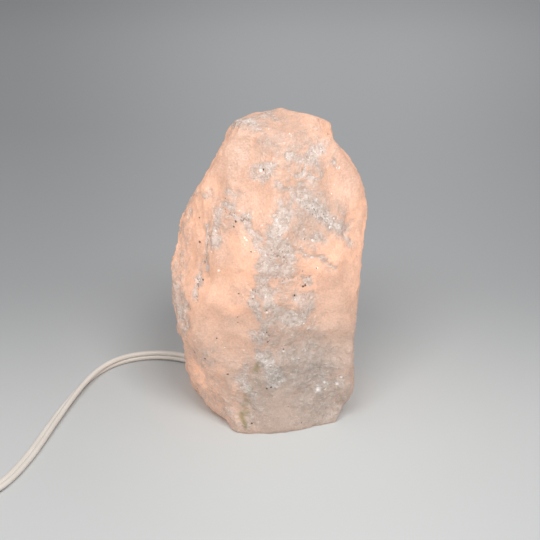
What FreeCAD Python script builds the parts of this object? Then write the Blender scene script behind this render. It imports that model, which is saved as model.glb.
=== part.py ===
import FreeCAD, Part
import math
import os

# Rough quartz lamp: a cleaved stone over a screw-in bulb, on a white flat twin lead.
# Millimetres. +Z is up, the stone stands on z = 0 and the lamp hole runs up the Z axis.

V = FreeCAD.Vector
UP = V(0, 0, 1)

# Stone
stone_width = 101.0
stone_depth = 96.0
stone_height = 157.0
bore_radius = 18.5
bore_depth = 92.0
drill_point = 5.0
groove_width = 12.0
groove_height = 10.5

# Lamp holder
cap_radius = 14.0
cap_height = 12.0
cap_wall = 2.0
holder_radius = 12.5
holder_height = 43.0
spigot_length = 3.0
spigot_wall = 2.0
floor_level = 18.0
floor_thickness = 3.0
socket_radius = 7.6
shell_radius = 6.0
shell_wall = 0.5
shell_length = 20.0
flange_thickness = 0.6
thread_pitch = 2.54
thread_depth = 0.6
contact_radius = 2.6
contact_height = 1.4
strip_thickness = 0.6
strip_width = 4.4
terminal_offset = 5.0
terminal_head_radius = 2.4
terminal_head_height = 2.0
terminal_shank_radius = 1.4
clip_width = 7.0
clip_thickness = 0.5
clip_tab = 5.0
clip_bow = 11.0
clip_clearance = 0.36
boss_width = 9.0
boss_proud = 0.3
rivet_radius = 1.5
rivet_head_radius = 2.4
rivet_head_height = 1.0

# Bulb
bulb_length = 58.2
bulb_radius = 11.0
bulb_widest = 37.0
bulb_neck_radius = 5.0
bulb_wall = 0.7
tip_radius = 2.4
tip_height = 1.6
insulator_height = 2.2
cap_skirt = 3.0
bulb_cap_length = 14.0
bulb_cap_wall = 0.4
thread_clearance = 0.4
contact_gap = 0.4
stem_radius = 1.8
stem_length = 14.0
wire_radius = 0.35
filament_radius = 4.5
filament_rise = 7.0

# Lead
strand_radius = 1.4
strand_offset = 1.3
exit_azimuth = 148.0
relief_axis = 4.4
relief_root_radius = 3.7
relief_tip_radius = 3.3
relief_reach = 37.0
lead_radius = 0.9
turn_gap = 1.6
layer_gap = 0.5
coil_radius = 40.5
coil_half_turns = 7
coil_tail = 25.0
tie_thickness = 0.5
tie_width = 5.0
tie_squeeze = 0.05

# Switch in the lead
switch_length = 46.0
switch_width = 19.0
switch_height = 14.0
switch_split = 5.6
switch_wall = 1.6
switch_coil_gap = 0.8
rocker_length = 14.0
rocker_width = 7.4
rocker_crown = 4.2
rocker_end = 3.2
rocker_under = 1.5
rocker_tilt = 12.0
rocker_axis = 11.4
axle_radius = 1.2
axle_clearance = 0.05
axle_reach = 1.5
window_side = 0.4
window_end = 1.0
cheek = 2.0
switch_screw_radius = 1.4
switch_screw_head = 2.6
switch_screw_head_height = 2.0
switch_screw_inset = 5.5
switch_post_radius = 3.2
leaf_start = 2.0
leaf_end = 11.0
leaf_width = 5.0
leaf_thickness = 0.8
leaf_post_length = 2.0
leaf_post_height = 4.0

# Plug
plug_relief_length = 22.0
plug_relief_radius = 5.0
plug_length = 28.0
plug_width = 25.0
blade_length = 16.0
blade_root = 5.0
blade_thickness = 1.5
blade_spacing = 12.7
blade_widths = (6.35, 7.9)
blade_hole_radius = 1.6
grip_start = 7.0
grip_spacing = 5.0
grip_radius = 1.2

# Cleavage planes of the stone: azimuth and tilt of the outward normal in degrees, and reach from the stone's
# heart, which is on the lamp's axis at this height.
heart_height = 70.0
BODY_FACETS = {
    "left shoulder": (172, 30, 54.0),
    "left upper flank": (180, 14, 50.0),
    "left flank": (-174, 0, 49.8),
    "left lower flank": (-169, -9, 51.2),
    "left foot": (-164, -18, 59.0),
    "left toe": (-152, -32, 66.0),
    "right shoulder": (9, 37, 66.8),
    "right upper flank": (0, 15, 55.2),
    "right flank": (-7, -3, 45.4),
    "right toe": (-19, -20, 65.0),
    "right chip": (-2, -29, 64.2),
    "right edge": (-22, 6, 51.5),
    "upper left face": (-110, 24, 55.0),
    "upper right face": (-62, 22, 54.0),
    "left cheek": (-140, 14, 49.5),
    "right cheek": (-40, 4, 49.0),
    "lower right face": (-73, -3, 42.3),
    "lower front face": (-99, -4, 44.6),
    "lower left face": (-138, -16, 55.5),
    "front ridge": (-86, 24, 57.2),
    "left ridge": (-126, 20, 53.0),
    "right ridge": (-55, 10, 50.6),
    "waist": (-92, 10, 51.0),
    "left waist": (-124, 4, 51.0),
    "knee": (-118, -10, 52.0),
    "brow": (-95, 48, 74.5),
    "left brow": (-150, 40, 69.5),
    "right brow": (-45, 42, 74.5),
    "top": (-100, 70, 83.0),
    "top rear left": (138, 68, 79.0),
    "top rear right": (40, 67, 81.3),
    "back": (95, 8, 44.0),
    "back right": (55, 20, 50.0),
    "back left": (135, 16, 52.0),
    "back low right": (40, -8, 50.0),
    "back low left": (150, -6, 52.0),
    "back brow": (95, 40, 62.0),
    "back foot": (88, -20, 52.0),
    "back ridge": (115, 14, 50.5),
    "back right ridge": (72, 12, 50.0),
    "rear right brow": (60, 48, 71.5),
    "rear left brow": (130, 45, 67.5),
    "right heel": (65, -18, 56.0),
    "left heel": (125, -18, 61.5),
}
# The crown stands proud of the body's own planes named below, on the right of the top only.
CROWN_FACETS = {
    "crown rear left": (138, 68, 78.5),
    "crown rear right": (40, 67.5, 81.3),
    "crown right": (-1, 11, 43.5),
    "crown top": (-80, 72, 84.0),
    "crown back": (80, 35, 57.0),
    "crown root": (0, -90, -50.0),
}
CROWN_PASSES = ("right shoulder", "right brow", "top", "top rear left", "top rear right", "rear right brow")
# Small shell-shaped hollows all round: their spacing, sphere radius and depth.
hollow_spacing = 18.0
hollow_radius = 27.0
hollow_depth = 1.7
# Larger ones: azimuth and tilt of their place seen from the heart, sphere radius and depth.
HOLLOWS = [
    (-118, 17, 26, 2.0),
    (-150, 24, 22, 1.4),
    (-166, 4, 18, 1.2),
    (-57, 9, 34, 1.8),
    (-74, -28, 30, 1.4),
    (-103, -38, 22, 1.4),
    (-18, 36, 26, 1.6),
    (62, 18, 40, 2.4),
    (118, -12, 36, 2.4),
    (92, 42, 30, 1.8),
]

# Points of the lead from its strain relief to the switch. The first two follow the strain relief's own direction.
LEAD_POINTS = [
    (-60.5, 34.0, 3.2),
    (-74.5, 33.0, 2.7),
    (-87.0, 26.0, 2.7),
    (-96.5, 12.0, 2.7),
    (-103.0, -8.0, 2.7),
    (-109.0, -34.0, 2.7),
    (-114.0, -62.0, 2.7),
    (-121.0, -84.0, 2.7),
    (-129.8, -96.1, 3.9),
    (-143.2, -102.9, 5.6),
    (-158.2, -102.9, 5.6),
]
lead_first_run = 17.0


def save(shape, name):
    """Writes one piece of the lamp to its own file."""
    shape.exportStep("parts/" + name + ".step")


def direction(azimuth, tilt=0.0):
    """Unit vector at an azimuth about Z and a tilt above the horizontal, in degrees."""
    a = math.radians(azimuth)
    t = math.radians(tilt)
    return V(math.cos(t) * math.cos(a), math.cos(t) * math.sin(a), math.sin(t))


def cylinder(radius, low, high, x=0.0, y=0.0):
    """Upright cylinder between two heights."""
    return Part.makeCylinder(radius, high - low, V(x, y, low))


def box(x0, x1, y0, y1, z0, z1):
    """Block between two corners."""
    return Part.makeBox(x1 - x0, y1 - y0, z1 - z0, V(x0, y0, z0))


def turned(points):
    """Solid turned about Z from (radius, height) points of a closed straight-sided section."""
    wire = Part.makePolygon([V(r, 0, z) for r, z in points + points[:1]])
    return Part.Face(wire).revolve(V(0, 0, 0), UP, 360)


def scaled(vector, scale):
    """Vector with its three lengths scaled apart."""
    return V(vector.x * scale[0], vector.y * scale[1], vector.z * scale[2])


# Stone


def trim(outline, normal, offset):
    """Points of a convex outline on the near side of a plane."""
    kept = []
    for here, there in zip(outline, outline[1:] + outline[:1]):
        here_past = normal.dot(here) - offset
        there_past = normal.dot(there) - offset
        if here_past <= 0:
            kept.append(here)
        if here_past * there_past < 0:
            kept.append(here + (there - here) * (here_past / (here_past - there_past)))
    return kept


def cleave(facets, scale):
    """Block of stone left above the ground and inside a set of cleavage planes."""
    planes = [(V(0, 0, -1), 0.0)]
    for azimuth, tilt, reach in facets.values():
        line = direction(azimuth, tilt)
        normal = V(line.x / scale[0], line.y / scale[1], line.z / scale[2])
        normal.normalize()
        planes.append((normal, normal.dot(scaled(V(0, 0, heart_height) + line * reach, scale))))
    span = 3 * (stone_width + stone_depth + stone_height)
    faces = []
    for normal, offset in planes:
        level = FreeCAD.Placement(normal * offset, FreeCAD.Rotation(UP, normal))
        outline = [level.multVec(V(x * span, y * span, 0)) for x, y in ((-1, -1), (1, -1), (1, 1), (-1, 1))]
        for other_normal, other_offset in planes:
            if other_normal is not normal:
                outline = trim(outline, other_normal, other_offset)
        if len(outline) > 2:
            faces.append(Part.Face(Part.makePolygon(outline + outline[:1])))
    shell = Part.Shell(faces)
    shell.sewShape()
    return Part.Solid(Part.Shell(shell.Faces))


def rough_stone(scale):
    """Cleaved body and crown in one, before any hollow."""
    body = cleave(BODY_FACETS, scale)
    crown_facets = {name: facet for name, facet in BODY_FACETS.items() if name not in CROWN_PASSES}
    crown_facets.update(CROWN_FACETS)
    crown = cleave(crown_facets, scale)
    return body.fuse(crown).removeSplitter()


def hollow_ball(azimuth, tilt, radius, depth, scale):
    """Ball that cuts one shell-shaped hollow where a line from the heart meets the stone's body."""
    line = direction(azimuth, tilt)
    meets = []
    for facet_azimuth, facet_tilt, reach in BODY_FACETS.values():
        normal = direction(facet_azimuth, facet_tilt)
        if normal.dot(line) > 0.05:
            meets.append((reach / normal.dot(line), facet_azimuth, facet_tilt))
    distance, facet_azimuth, facet_tilt = min(meets)
    place = scaled(V(0, 0, heart_height) + line * distance, scale)
    return Part.makeSphere(radius, place + direction(facet_azimuth, facet_tilt) * (radius - depth))


def share(count):
    """Pseudo-random share from 0 to 1 for a whole number."""
    return math.modf(abs(math.sin(12.9898 * count + 78.233)) * 43758.5453)[0]


def small_hollows():
    """Rings of hollows from the ground to the crown, a spacing apart, each one turned, sized and sunk a little
    apart from its neighbours."""
    found = []
    rings = int(0.92 * stone_height / hollow_spacing)
    for ring in range(rings):
        level = (ring + 0.6) * hollow_spacing
        across = 0.46 * stone_width * min(1.0, 1.7 * (1 - level / stone_height) + 0.28)
        count = max(3, round(2 * math.pi * across / hollow_spacing))
        for place in range(count):
            key = 31 * ring + place + 1
            azimuth = 360 * (place + 0.5 * (ring % 2) + 0.5 * (share(key) - 0.5)) / count
            height = level + 0.4 * hollow_spacing * (share(key + 0.37) - 0.5)
            tilt = math.degrees(math.atan2(height - heart_height, across))
            radius = hollow_radius * (0.75 + 0.6 * share(key + 0.61))
            found.append((azimuth, tilt, radius, hollow_depth * (0.55 + 0.7 * share(key + 0.83))))
    return found


def make_stone():
    """Stone of the stated size, centred on the lamp's axis, with its lamp hole and the groove for the lead."""
    natural = rough_stone((1.0, 1.0, 1.0)).BoundBox
    scale = (stone_width / natural.XLength, stone_depth / natural.YLength, stone_height / natural.ZLength)
    stone = rough_stone(scale)
    ends = stone.BoundBox
    tips = [
        point.Point
        for point in stone.Vertexes
        if min(point.X - ends.XMin, ends.XMax - point.X, point.Y - ends.YMin, ends.YMax - point.Y, ends.ZMax - point.Z)
        < 0.01
    ]
    for azimuth, tilt, radius, depth in HOLLOWS + small_hollows():
        ball = hollow_ball(azimuth, tilt, radius, depth, scale)
        middle = ball.BoundBox.Center
        if all((tip - middle).Length > radius for tip in tips):
            stone = stone.cut(ball)
    middle = ends.Center
    stone.translate(V(-middle.x, -middle.y, 0))
    print("stone moved by", round(-middle.x, 2), round(-middle.y, 2), "to stand about the lamp's axis")
    bore = cylinder(bore_radius, -1, bore_depth - drill_point)
    point = Part.makeCone(bore_radius, 0.3 * bore_radius, drill_point, V(0, 0, bore_depth - drill_point))
    groove = box(0, stone_width, -groove_width / 2, groove_width / 2, -1, groove_height)
    groove.rotate(V(0, 0, 0), UP, exit_azimuth)
    return stone.cut(bore.fuse(point)).cut(groove)


# Lamp holder

exit_line = direction(exit_azimuth)
side_line = V(-exit_line.y, exit_line.x, 0)
spigot_radius = cap_radius - cap_wall - 0.5
socket_floor = floor_level + floor_thickness
cavity_radius = spigot_radius - spigot_wall
relief_inner = spigot_radius - 0.5
clip_top = floor_level - spigot_length + 2 * clip_bow + 3.5
clip_foot = cap_height + 2.0
boss_face = holder_radius + boss_proud
rivet_level = clip_foot + clip_tab / 2


def along_exit(shape):
    """Turns a piece made along +X, at the strain relief's height, to the lead's own direction."""
    shape.rotate(V(0, 0, 0), UP, exit_azimuth)
    return shape


def rod(start, line, radius, length):
    """Round bar from a point along a line."""
    return Part.makeCylinder(radius, length, start, line)


def make_relief():
    """Tapered strain relief: a root in the cap's wall and a cone that narrows to the lead."""
    root_end = cap_radius + 1.0
    root = rod(V(relief_inner, 0, relief_axis), V(1, 0, 0), relief_root_radius, root_end - relief_inner)
    length = relief_reach - root_end
    taper = Part.makeCone(relief_root_radius, relief_tip_radius, length, V(root_end, 0, relief_axis), V(1, 0, 0))
    return along_exit(root.fuse(taper).removeSplitter())


def make_cap():
    """Cup below the holder, with a hole in its wall for the strain relief."""
    cup = cylinder(cap_radius, 0, cap_height).cut(cylinder(spigot_radius, cap_wall, cap_height))
    hole = rod(V(relief_inner, 0, relief_axis), V(1, 0, 0), relief_root_radius, cap_radius)
    return cup.cut(along_exit(hole))


def terminal_place(side):
    """Place of a terminal screw in plan."""
    return side_line * (side * terminal_offset)


def clip_turn(index):
    """Azimuth of one of the two spring clips, square to the lead."""
    return exit_azimuth + 90.0 + 180.0 * index


def make_body():
    """Insulating body: a spigot in the cap, a floor between wiring and socket, and flats for the clips."""
    bottom = cap_height - spigot_length
    body = cylinder(holder_radius, cap_height, holder_height)
    for index in (0, 1):
        half = boss_width / 2
        boss = box(0, boss_face, -half, half, cap_height, clip_foot + clip_tab + 0.5)
        boss.rotate(V(0, 0, 0), UP, clip_turn(index))
        body = body.fuse(boss)
    body = body.fuse(cylinder(spigot_radius, bottom, cap_height)).removeSplitter()
    body = body.cut(cylinder(cavity_radius, bottom, floor_level))
    body = body.cut(cylinder(socket_radius, socket_floor, holder_height))
    body = body.cut(cylinder(terminal_shank_radius, floor_level, socket_floor))
    for side in (-1, 1):
        place = terminal_place(side)
        body = body.cut(cylinder(terminal_shank_radius, floor_level, socket_floor, place.x, place.y))
    for index in (0, 1):
        line = direction(clip_turn(index))
        body = body.cut(rod(V(0, 0, rivet_level) + line * cavity_radius, line, rivet_radius, holder_radius))
    return body


def thread_wave(radius, low, count, inward):
    """(radius, height) points of a rolled thread with a steady pitch, from its lower end to its upper end."""
    points = []
    for step in range(2 * count + 1):
        swing = thread_depth / 2 if step % 2 else -thread_depth / 2
        points.append((radius + swing - inward, low + step * thread_pitch / 2))
    return points


def make_screw_shell():
    """Threaded brass sleeve with a flange on the socket's floor, its thread in step with the bulb's."""
    low = socket_floor + flange_thickness
    start = cap_low - int((cap_low - low) / thread_pitch) * thread_pitch
    count = int((socket_floor + shell_length - start) / thread_pitch)
    inner = thread_wave(shell_radius, start, count, 0.0)
    outer = thread_wave(shell_radius, start, count, -shell_wall)
    flange = [
        (socket_radius, low),
        (socket_radius, socket_floor),
        (contact_radius + 0.8, socket_floor),
        (contact_radius + 0.8, low),
        (inner[0][0], low),
    ]
    return turned(flange + inner + outer[::-1] + [(outer[0][0], low)])


def make_centre_contact():
    """Brass button on the socket's floor, its rivet through the floor and its strip to the terminal below."""
    button = cylinder(contact_radius, socket_floor, socket_floor + contact_height)
    shank = cylinder(terminal_shank_radius, floor_level, socket_floor)
    low = floor_level - strip_thickness
    half = strip_width / 2
    strip = box(-half, half, -terminal_offset, half, low, floor_level)
    strip = strip.fuse(cylinder(half, low, floor_level, 0, -terminal_offset))
    strip = strip.cut(cylinder(terminal_shank_radius, low, floor_level, 0, -terminal_offset))
    strip.rotate(V(0, 0, 0), UP, exit_azimuth)
    return button.fuse(shank).fuse(strip).removeSplitter()


def terminal_seat(side):
    """Height of the face that a terminal screw's head bears on."""
    return floor_level if side > 0 else floor_level - strip_thickness


def make_terminal(side):
    """Terminal screw, driven from below."""
    place = terminal_place(side)
    seat = terminal_seat(side)
    head = cylinder(terminal_head_radius, seat - terminal_head_height, seat, place.x, place.y)
    shank = cylinder(terminal_shank_radius, seat, socket_floor, place.x, place.y)
    return head.fuse(shank).removeSplitter()


def make_lead_end(side):
    """One strand's end inside the cap, bent up to its terminal screw."""
    start = exit_line * relief_inner + UP * (relief_axis + side * strand_offset)
    inside = start - exit_line * (3 * lead_radius)
    corner = terminal_place(side) + UP * start.z
    finish = terminal_place(side) + UP * (terminal_seat(side) - terminal_head_height)
    path, _, _ = rounded_path([start, inside, corner, finish])
    section = Part.Wire(Part.Circle(start, exit_line, lead_radius).toShape())
    return Part.Wire(path).makePipeShell([section], True, False)


def make_clip(index):
    """Bowed spring strip: a flat tab riveted to the holder and a bow that presses on the hole's wall."""
    tab_top = clip_foot + clip_tab
    bow_out = math.sqrt((bore_radius - clip_clearance) ** 2 - (clip_width / 2) ** 2)
    middle = tab_top + clip_bow
    inner = Part.Arc(
        V(boss_face, 0, tab_top), V(bow_out - clip_thickness, 0, middle), V(boss_face + 0.5, 0, clip_top)
    )
    outer = Part.Arc(
        V(boss_face + 0.5 + clip_thickness, 0, clip_top),
        V(bow_out, 0, middle),
        V(boss_face + clip_thickness, 0, tab_top),
    )
    corners = [
        V(boss_face + clip_thickness, 0, tab_top),
        V(boss_face + clip_thickness, 0, clip_foot),
        V(boss_face, 0, clip_foot),
        V(boss_face, 0, tab_top),
    ]
    edges = [inner.toShape(), Part.makeLine(inner.EndPoint, outer.StartPoint), outer.toShape()]
    edges += [Part.makeLine(a, b) for a, b in zip(corners, corners[1:])]
    strip = Part.Face(Part.Wire(edges)).extrude(V(0, clip_width, 0))
    strip.translate(V(0, -clip_width / 2, 0))
    strip = strip.cut(rod(V(0, 0, rivet_level), V(1, 0, 0), rivet_radius, bow_out))
    strip.rotate(V(0, 0, 0), UP, clip_turn(index))
    return strip


def make_rivet(index):
    """Rivet through a clip's tab and the holder's wall."""
    seat = boss_face + clip_thickness
    start = math.sqrt(cavity_radius**2 - rivet_radius**2)
    shank = rod(V(start, 0, rivet_level), V(1, 0, 0), rivet_radius, seat - start)
    shank = shank.cut(cylinder(cavity_radius, 0, holder_height))
    head = Part.makeCone(
        rivet_head_radius, 0.6 * rivet_head_radius, rivet_head_height, V(seat, 0, rivet_level), V(1, 0, 0)
    )
    rivet = shank.fuse(head).removeSplitter()
    rivet.rotate(V(0, 0, 0), UP, clip_turn(index))
    return rivet


# Bulb

tip_low = socket_floor + contact_height + contact_gap
insulator_low = tip_low + tip_height
cap_low = insulator_low + insulator_height
cap_high = cap_low + bulb_cap_length
bulb_top = tip_low + bulb_length
neck_low = cap_high - cap_skirt
widest = tip_low + bulb_widest
stem_top = neck_low + stem_length


def make_bulb_tip():
    """Solder button below the bulb's cap."""
    return Part.makeCone(0.7 * tip_radius, tip_radius, tip_height, V(0, 0, tip_low))


def make_insulator():
    """Dark glass cone between the tip and the screw cap."""
    rim = shell_radius - thread_clearance - thread_depth / 2
    return Part.makeCone(tip_radius + 0.3, rim, insulator_height, V(0, 0, insulator_low))


def make_bulb_cap():
    """Threaded brass cap with a plain skirt that holds the glass neck."""
    mean = shell_radius - thread_clearance
    count = int((bulb_cap_length - cap_skirt) / thread_pitch)
    outer = thread_wave(mean, cap_low, count, 0.0)
    inner = thread_wave(mean, cap_low, count, bulb_cap_wall)
    skirt = [
        (bulb_neck_radius + bulb_cap_wall, neck_low),
        (bulb_neck_radius + bulb_cap_wall, cap_high),
        (bulb_neck_radius, cap_high),
        (bulb_neck_radius, neck_low),
    ]
    return turned(outer + skirt + inner[::-1])


def glass_solid(inset):
    """Solid of the bulb's outline at an inset from its outer face: neck, shoulder and rounded top."""
    neck = bulb_neck_radius - inset
    wide = bulb_radius - inset
    top = bulb_top - inset
    flank = [
        V(neck, 0, cap_high),
        V(neck + 0.62 * (wide - neck), 0, cap_high + 0.46 * (widest - cap_high)),
        V(wide, 0, widest),
        V(0.70 * wide, 0, widest + 0.72 * (top - widest)),
        V(0, 0, top),
    ]
    curve = Part.BSplineCurve()
    curve.interpolate(Points=flank, InitialTangent=V(0.3, 0, 1), FinalTangent=V(-1, 0, 0))
    edges = [
        Part.makeLine(V(0, 0, neck_low), V(neck, 0, neck_low)),
        Part.makeLine(V(neck, 0, neck_low), flank[0]),
        curve.toShape(),
        Part.makeLine(flank[-1], V(0, 0, neck_low)),
    ]
    return Part.Face(Part.Wire(edges)).revolve(V(0, 0, 0), UP, 360)


def make_glass():
    """Hollow torpedo-shaped envelope, open at its neck."""
    return glass_solid(0.0).cut(glass_solid(bulb_wall))


def make_stem():
    """Glass mount inside the neck: a flare that closes the neck and a post that carries the wires."""
    flare = bulb_neck_radius - bulb_wall
    return turned(
        [
            (0, neck_low),
            (flare, neck_low),
            (flare, neck_low + 1.0),
            (stem_radius, neck_low + 4.5),
            (stem_radius, stem_top),
            (0, stem_top),
        ]
    )


filament_level = stem_top + filament_rise


def make_support(side):
    """Wire from the stem up and out to one end of the filament."""
    start = V(side * 0.5 * stem_radius, 0, stem_top)
    bend = V(side * 0.5 * stem_radius, 0, stem_top + 3.0)
    finish = V(side * filament_radius, 0, filament_level)
    path, _, _ = rounded_path([start, bend, finish])
    section = Part.Wire(Part.Circle(start, UP, wire_radius).toShape())
    return Part.Wire(path).makePipeShell([section], True, False)


def make_filament():
    """Arc of tungsten between the two support wires."""
    ends = [V(side * filament_radius, 0, filament_level) for side in (1, -1)]
    arc = Part.Arc(ends[0], V(0, 0, filament_level + filament_radius), ends[1])
    section = Part.Wire(Part.Circle(ends[0], UP, wire_radius).toShape())
    tube = Part.Wire([arc.toShape()]).makePipeShell([section], True, False)
    for side in (1, -1):
        tube = tube.cut(make_support(side))
    return tube


# Lead

lead_height = 2 * (strand_radius + strand_offset)
lead_thickness = 2 * strand_radius


def rounded_path(points):
    """Straight runs joined by the largest tangent arcs that fit: edges, arc radii and length."""
    edges = []
    radii = []
    last = points[0]
    for before, point, after in zip(points, points[1:], points[2:]):
        back = before - point
        ahead = after - point
        cut = 0.45 * min(back.Length, ahead.Length)
        turn = math.pi - back.getAngle(ahead)
        radius = cut / math.tan(turn / 2)
        back.normalize()
        ahead.normalize()
        inward = back + ahead
        inward.normalize()
        middle = point + inward * (radius / math.cos(turn / 2) - radius)
        start = point + back * cut
        edges.append(Part.LineSegment(last, start).toShape())
        edges.append(Part.Arc(start, middle, point + ahead * cut).toShape())
        radii.append(radius)
        last = point + ahead * cut
    edges.append(Part.LineSegment(last, points[-1]).toShape())
    return edges, radii, sum(edge.Length for edge in edges)


def twin_section(start, line):
    """Outline of two strands moulded side by side, one above the other, square to a line."""
    across = line.cross(UP)
    across.normalize()
    neck = math.sqrt(strand_radius**2 - strand_offset**2)
    flank = strand_radius
    top = strand_radius + strand_offset

    def at(x, z):
        return start + across * x + UP * z

    arcs = [
        Part.Arc(at(neck, 0), at(flank, strand_offset), at(0, top)),
        Part.Arc(at(0, top), at(-flank, strand_offset), at(-neck, 0)),
        Part.Arc(at(-neck, 0), at(-flank, -strand_offset), at(0, -top)),
        Part.Arc(at(0, -top), at(flank, -strand_offset), at(neck, 0)),
    ]
    return Part.Wire([arc.toShape() for arc in arcs])


def sweep_twin(path, line):
    """Twin lead along a path that starts along a line, with its section's area."""
    section = twin_section(path[0].Vertexes[0].Point, line)
    tube = Part.Wire(path).makePipeShell([section], True, False)
    return tube, Part.Face(section).Area


def report_tube(name, tube, area, length):
    """Prints a swept tube's length and how its volume compares with section times length."""
    print(name, "length", round(length, 1), "volume share", round(tube.Volume / (area * length), 4))


def make_run():
    """Free stretch of the lead from the strain relief to the switch."""
    first = exit_line * relief_reach + UP * relief_axis
    second = first + exit_line * lead_first_run
    points = [first, second] + [V(*point) for point in LEAD_POINTS]
    path, radii, length = rounded_path(points)
    tube, area = sweep_twin(path, exit_line)
    print("lead bend radii", [round(radius, 1) for radius in radii])
    report_tube("lead run", tube, area, length)
    return tube


def half_arc(start, meet, finish):
    """Arc tangent to two lines of equal length that meet at a point."""
    chord_middle = (start + finish) * 0.5
    rise = meet - chord_middle
    half_chord = (finish - start).Length / 2
    lift = half_chord * math.tan(math.atan2(rise.Length, half_chord) / 2)
    rise.normalize()
    return Part.Arc(start, chord_middle + rise * lift, finish).toShape()


def biarc(start, start_line, finish, finish_line):
    """Two tangent arcs from one point and direction to another."""
    gap = finish - start
    both = start_line + finish_line
    square = 4 - both.dot(both)
    reach = (-gap.dot(both) + math.sqrt(gap.dot(both) ** 2 + square * gap.dot(gap))) / square
    first = start + start_line * reach
    second = finish - finish_line * reach
    middle = (first + second) * 0.5
    return [half_arc(start, first, middle), half_arc(middle, second, finish)]


turn_pitch = lead_thickness + turn_gap
coil_low = tie_thickness + lead_height / 2
coil_high = coil_low + lead_height + layer_gap
switch_in = V(*LEAD_POINTS[-1])
switch_out = switch_in - V(switch_length, 0, 0)
coil_bend = coil_radius + lead_thickness / 2 + switch_coil_gap + switch_width / 2
coil_start = switch_out - V(lead_height, 0, 0)
coil_middle = V(coil_start.x - coil_bend + coil_radius, switch_out.y + coil_bend, 0)
plug_axis = coil_high


def coil_joint(half_turn):
    """Point and direction of the coil after a number of half turns: in on the floor, up, and out again on top."""
    east = half_turn % 2 == 1
    if half_turn <= coil_half_turns:
        radius = coil_radius - half_turn * turn_pitch / 2
        height = coil_low
    else:
        inmost = coil_radius - coil_half_turns * turn_pitch / 2
        radius = inmost + (half_turn - coil_half_turns - 1) * turn_pitch / 2
        height = coil_high
    place = coil_middle + V(radius if east else -radius, 0, height)
    return place, V(0, -1 if east else 1, 0)


def coil_path():
    """Edges of the coil: a straight end at the switch, a lead-in, the half turns and a straight end at the plug."""
    place, line = coil_joint(0)
    path = [Part.LineSegment(switch_out, coil_start).toShape()]
    path += biarc(coil_start, V(-1, 0, 0), place, line)
    for half_turn in range(2 * coil_half_turns):
        place, line = coil_joint(half_turn)
        next_place, next_line = coil_joint(half_turn + 1)
        path += biarc(place, line, next_place, next_line)
    end, _ = coil_joint(2 * coil_half_turns)
    path.append(Part.LineSegment(end, end + V(0, coil_tail, 0)).toShape())
    return path


def least_gap(path):
    """Least gap between strands of the coil that aren't neighbours along it, on points 4 mm apart."""
    line = []
    for edge in path:
        line += edge.discretize(max(2, int(edge.Length / 4.0)))[:-1]
    apart = 8
    least = 1e9
    for i, here in enumerate(line):
        for there in line[i + apart :]:
            flat = math.hypot(here.x - there.x, here.y - there.y)
            if flat < 3 * lead_thickness:
                rise = max(0.0, abs(here.z - there.z) - 2 * strand_offset)
                least = min(least, math.hypot(flat, rise) - 2 * strand_radius)
    return least


def make_coil():
    """Put-away length of the lead, wound in two layers."""
    path = coil_path()
    tube, area = sweep_twin(path, V(-1, 0, 0))
    length = sum(edge.Length for edge in path)
    report_tube("coil", tube, area, length)
    print("coil least gap to itself", round(least_gap(path), 2))
    return tube


def make_tie():
    """Band round the bundle of turns on the side towards the stone."""
    outmost = coil_radius - turn_pitch / 2 + strand_radius - tie_squeeze
    inmost = coil_radius - coil_half_turns * turn_pitch / 2 - strand_radius
    low = coil_low - lead_height / 2 + tie_squeeze
    high = coil_high + lead_height / 2 - tie_squeeze
    half = tie_width / 2
    t = tie_thickness
    outer = box(inmost - t, outmost + t, -half, half, low - tie_squeeze - t, high + t)
    tie = outer.cut(box(inmost, outmost, -half, half, low, high))
    tie.translate(coil_middle)
    return tie


# Switch in the lead

switch_middle = (switch_in + switch_out) * 0.5
half_length = switch_length / 2
half_width = switch_width / 2
screw_places = (-half_length + switch_screw_inset, half_length - switch_screw_inset)
rocker_half = rocker_width / 2
cheek_inner = rocker_half + window_side
cheek_outer = cheek_inner + cheek
cheek_low = rocker_axis - axle_radius - 1.6


def at_switch(shape):
    """Moves a piece made about the switch's own middle to its place in the lead."""
    shape.translate(V(switch_middle.x, switch_middle.y, 0))
    return shape


def make_switch_bottom():
    """Lower shell: a tray with counterbored holes for its screws."""
    tray = box(-half_length, half_length, -half_width, half_width, 0, switch_split)
    upright = [e for e in tray.Edges if abs(e.tangentAt(e.FirstParameter).z) > 0.9]
    tray = tray.makeFillet(4.0, upright)
    w = switch_wall
    hollow = box(-half_length + w, half_length - w, -half_width + w, half_width - w, w, switch_split)
    upright = [e for e in hollow.Edges if abs(e.tangentAt(e.FirstParameter).z) > 0.9]
    tray = tray.cut(hollow.makeFillet(4.0 - w, upright))
    for x in screw_places:
        tray = tray.fuse(cylinder(switch_post_radius, 0, switch_split, x))
    tray = tray.removeSplitter()
    for x in screw_places:
        tray = tray.cut(cylinder(switch_screw_head, 0, switch_screw_head_height + 0.3, x))
        tray = tray.cut(cylinder(switch_screw_radius, 0, switch_split, x))
    return at_switch(tray)


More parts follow.
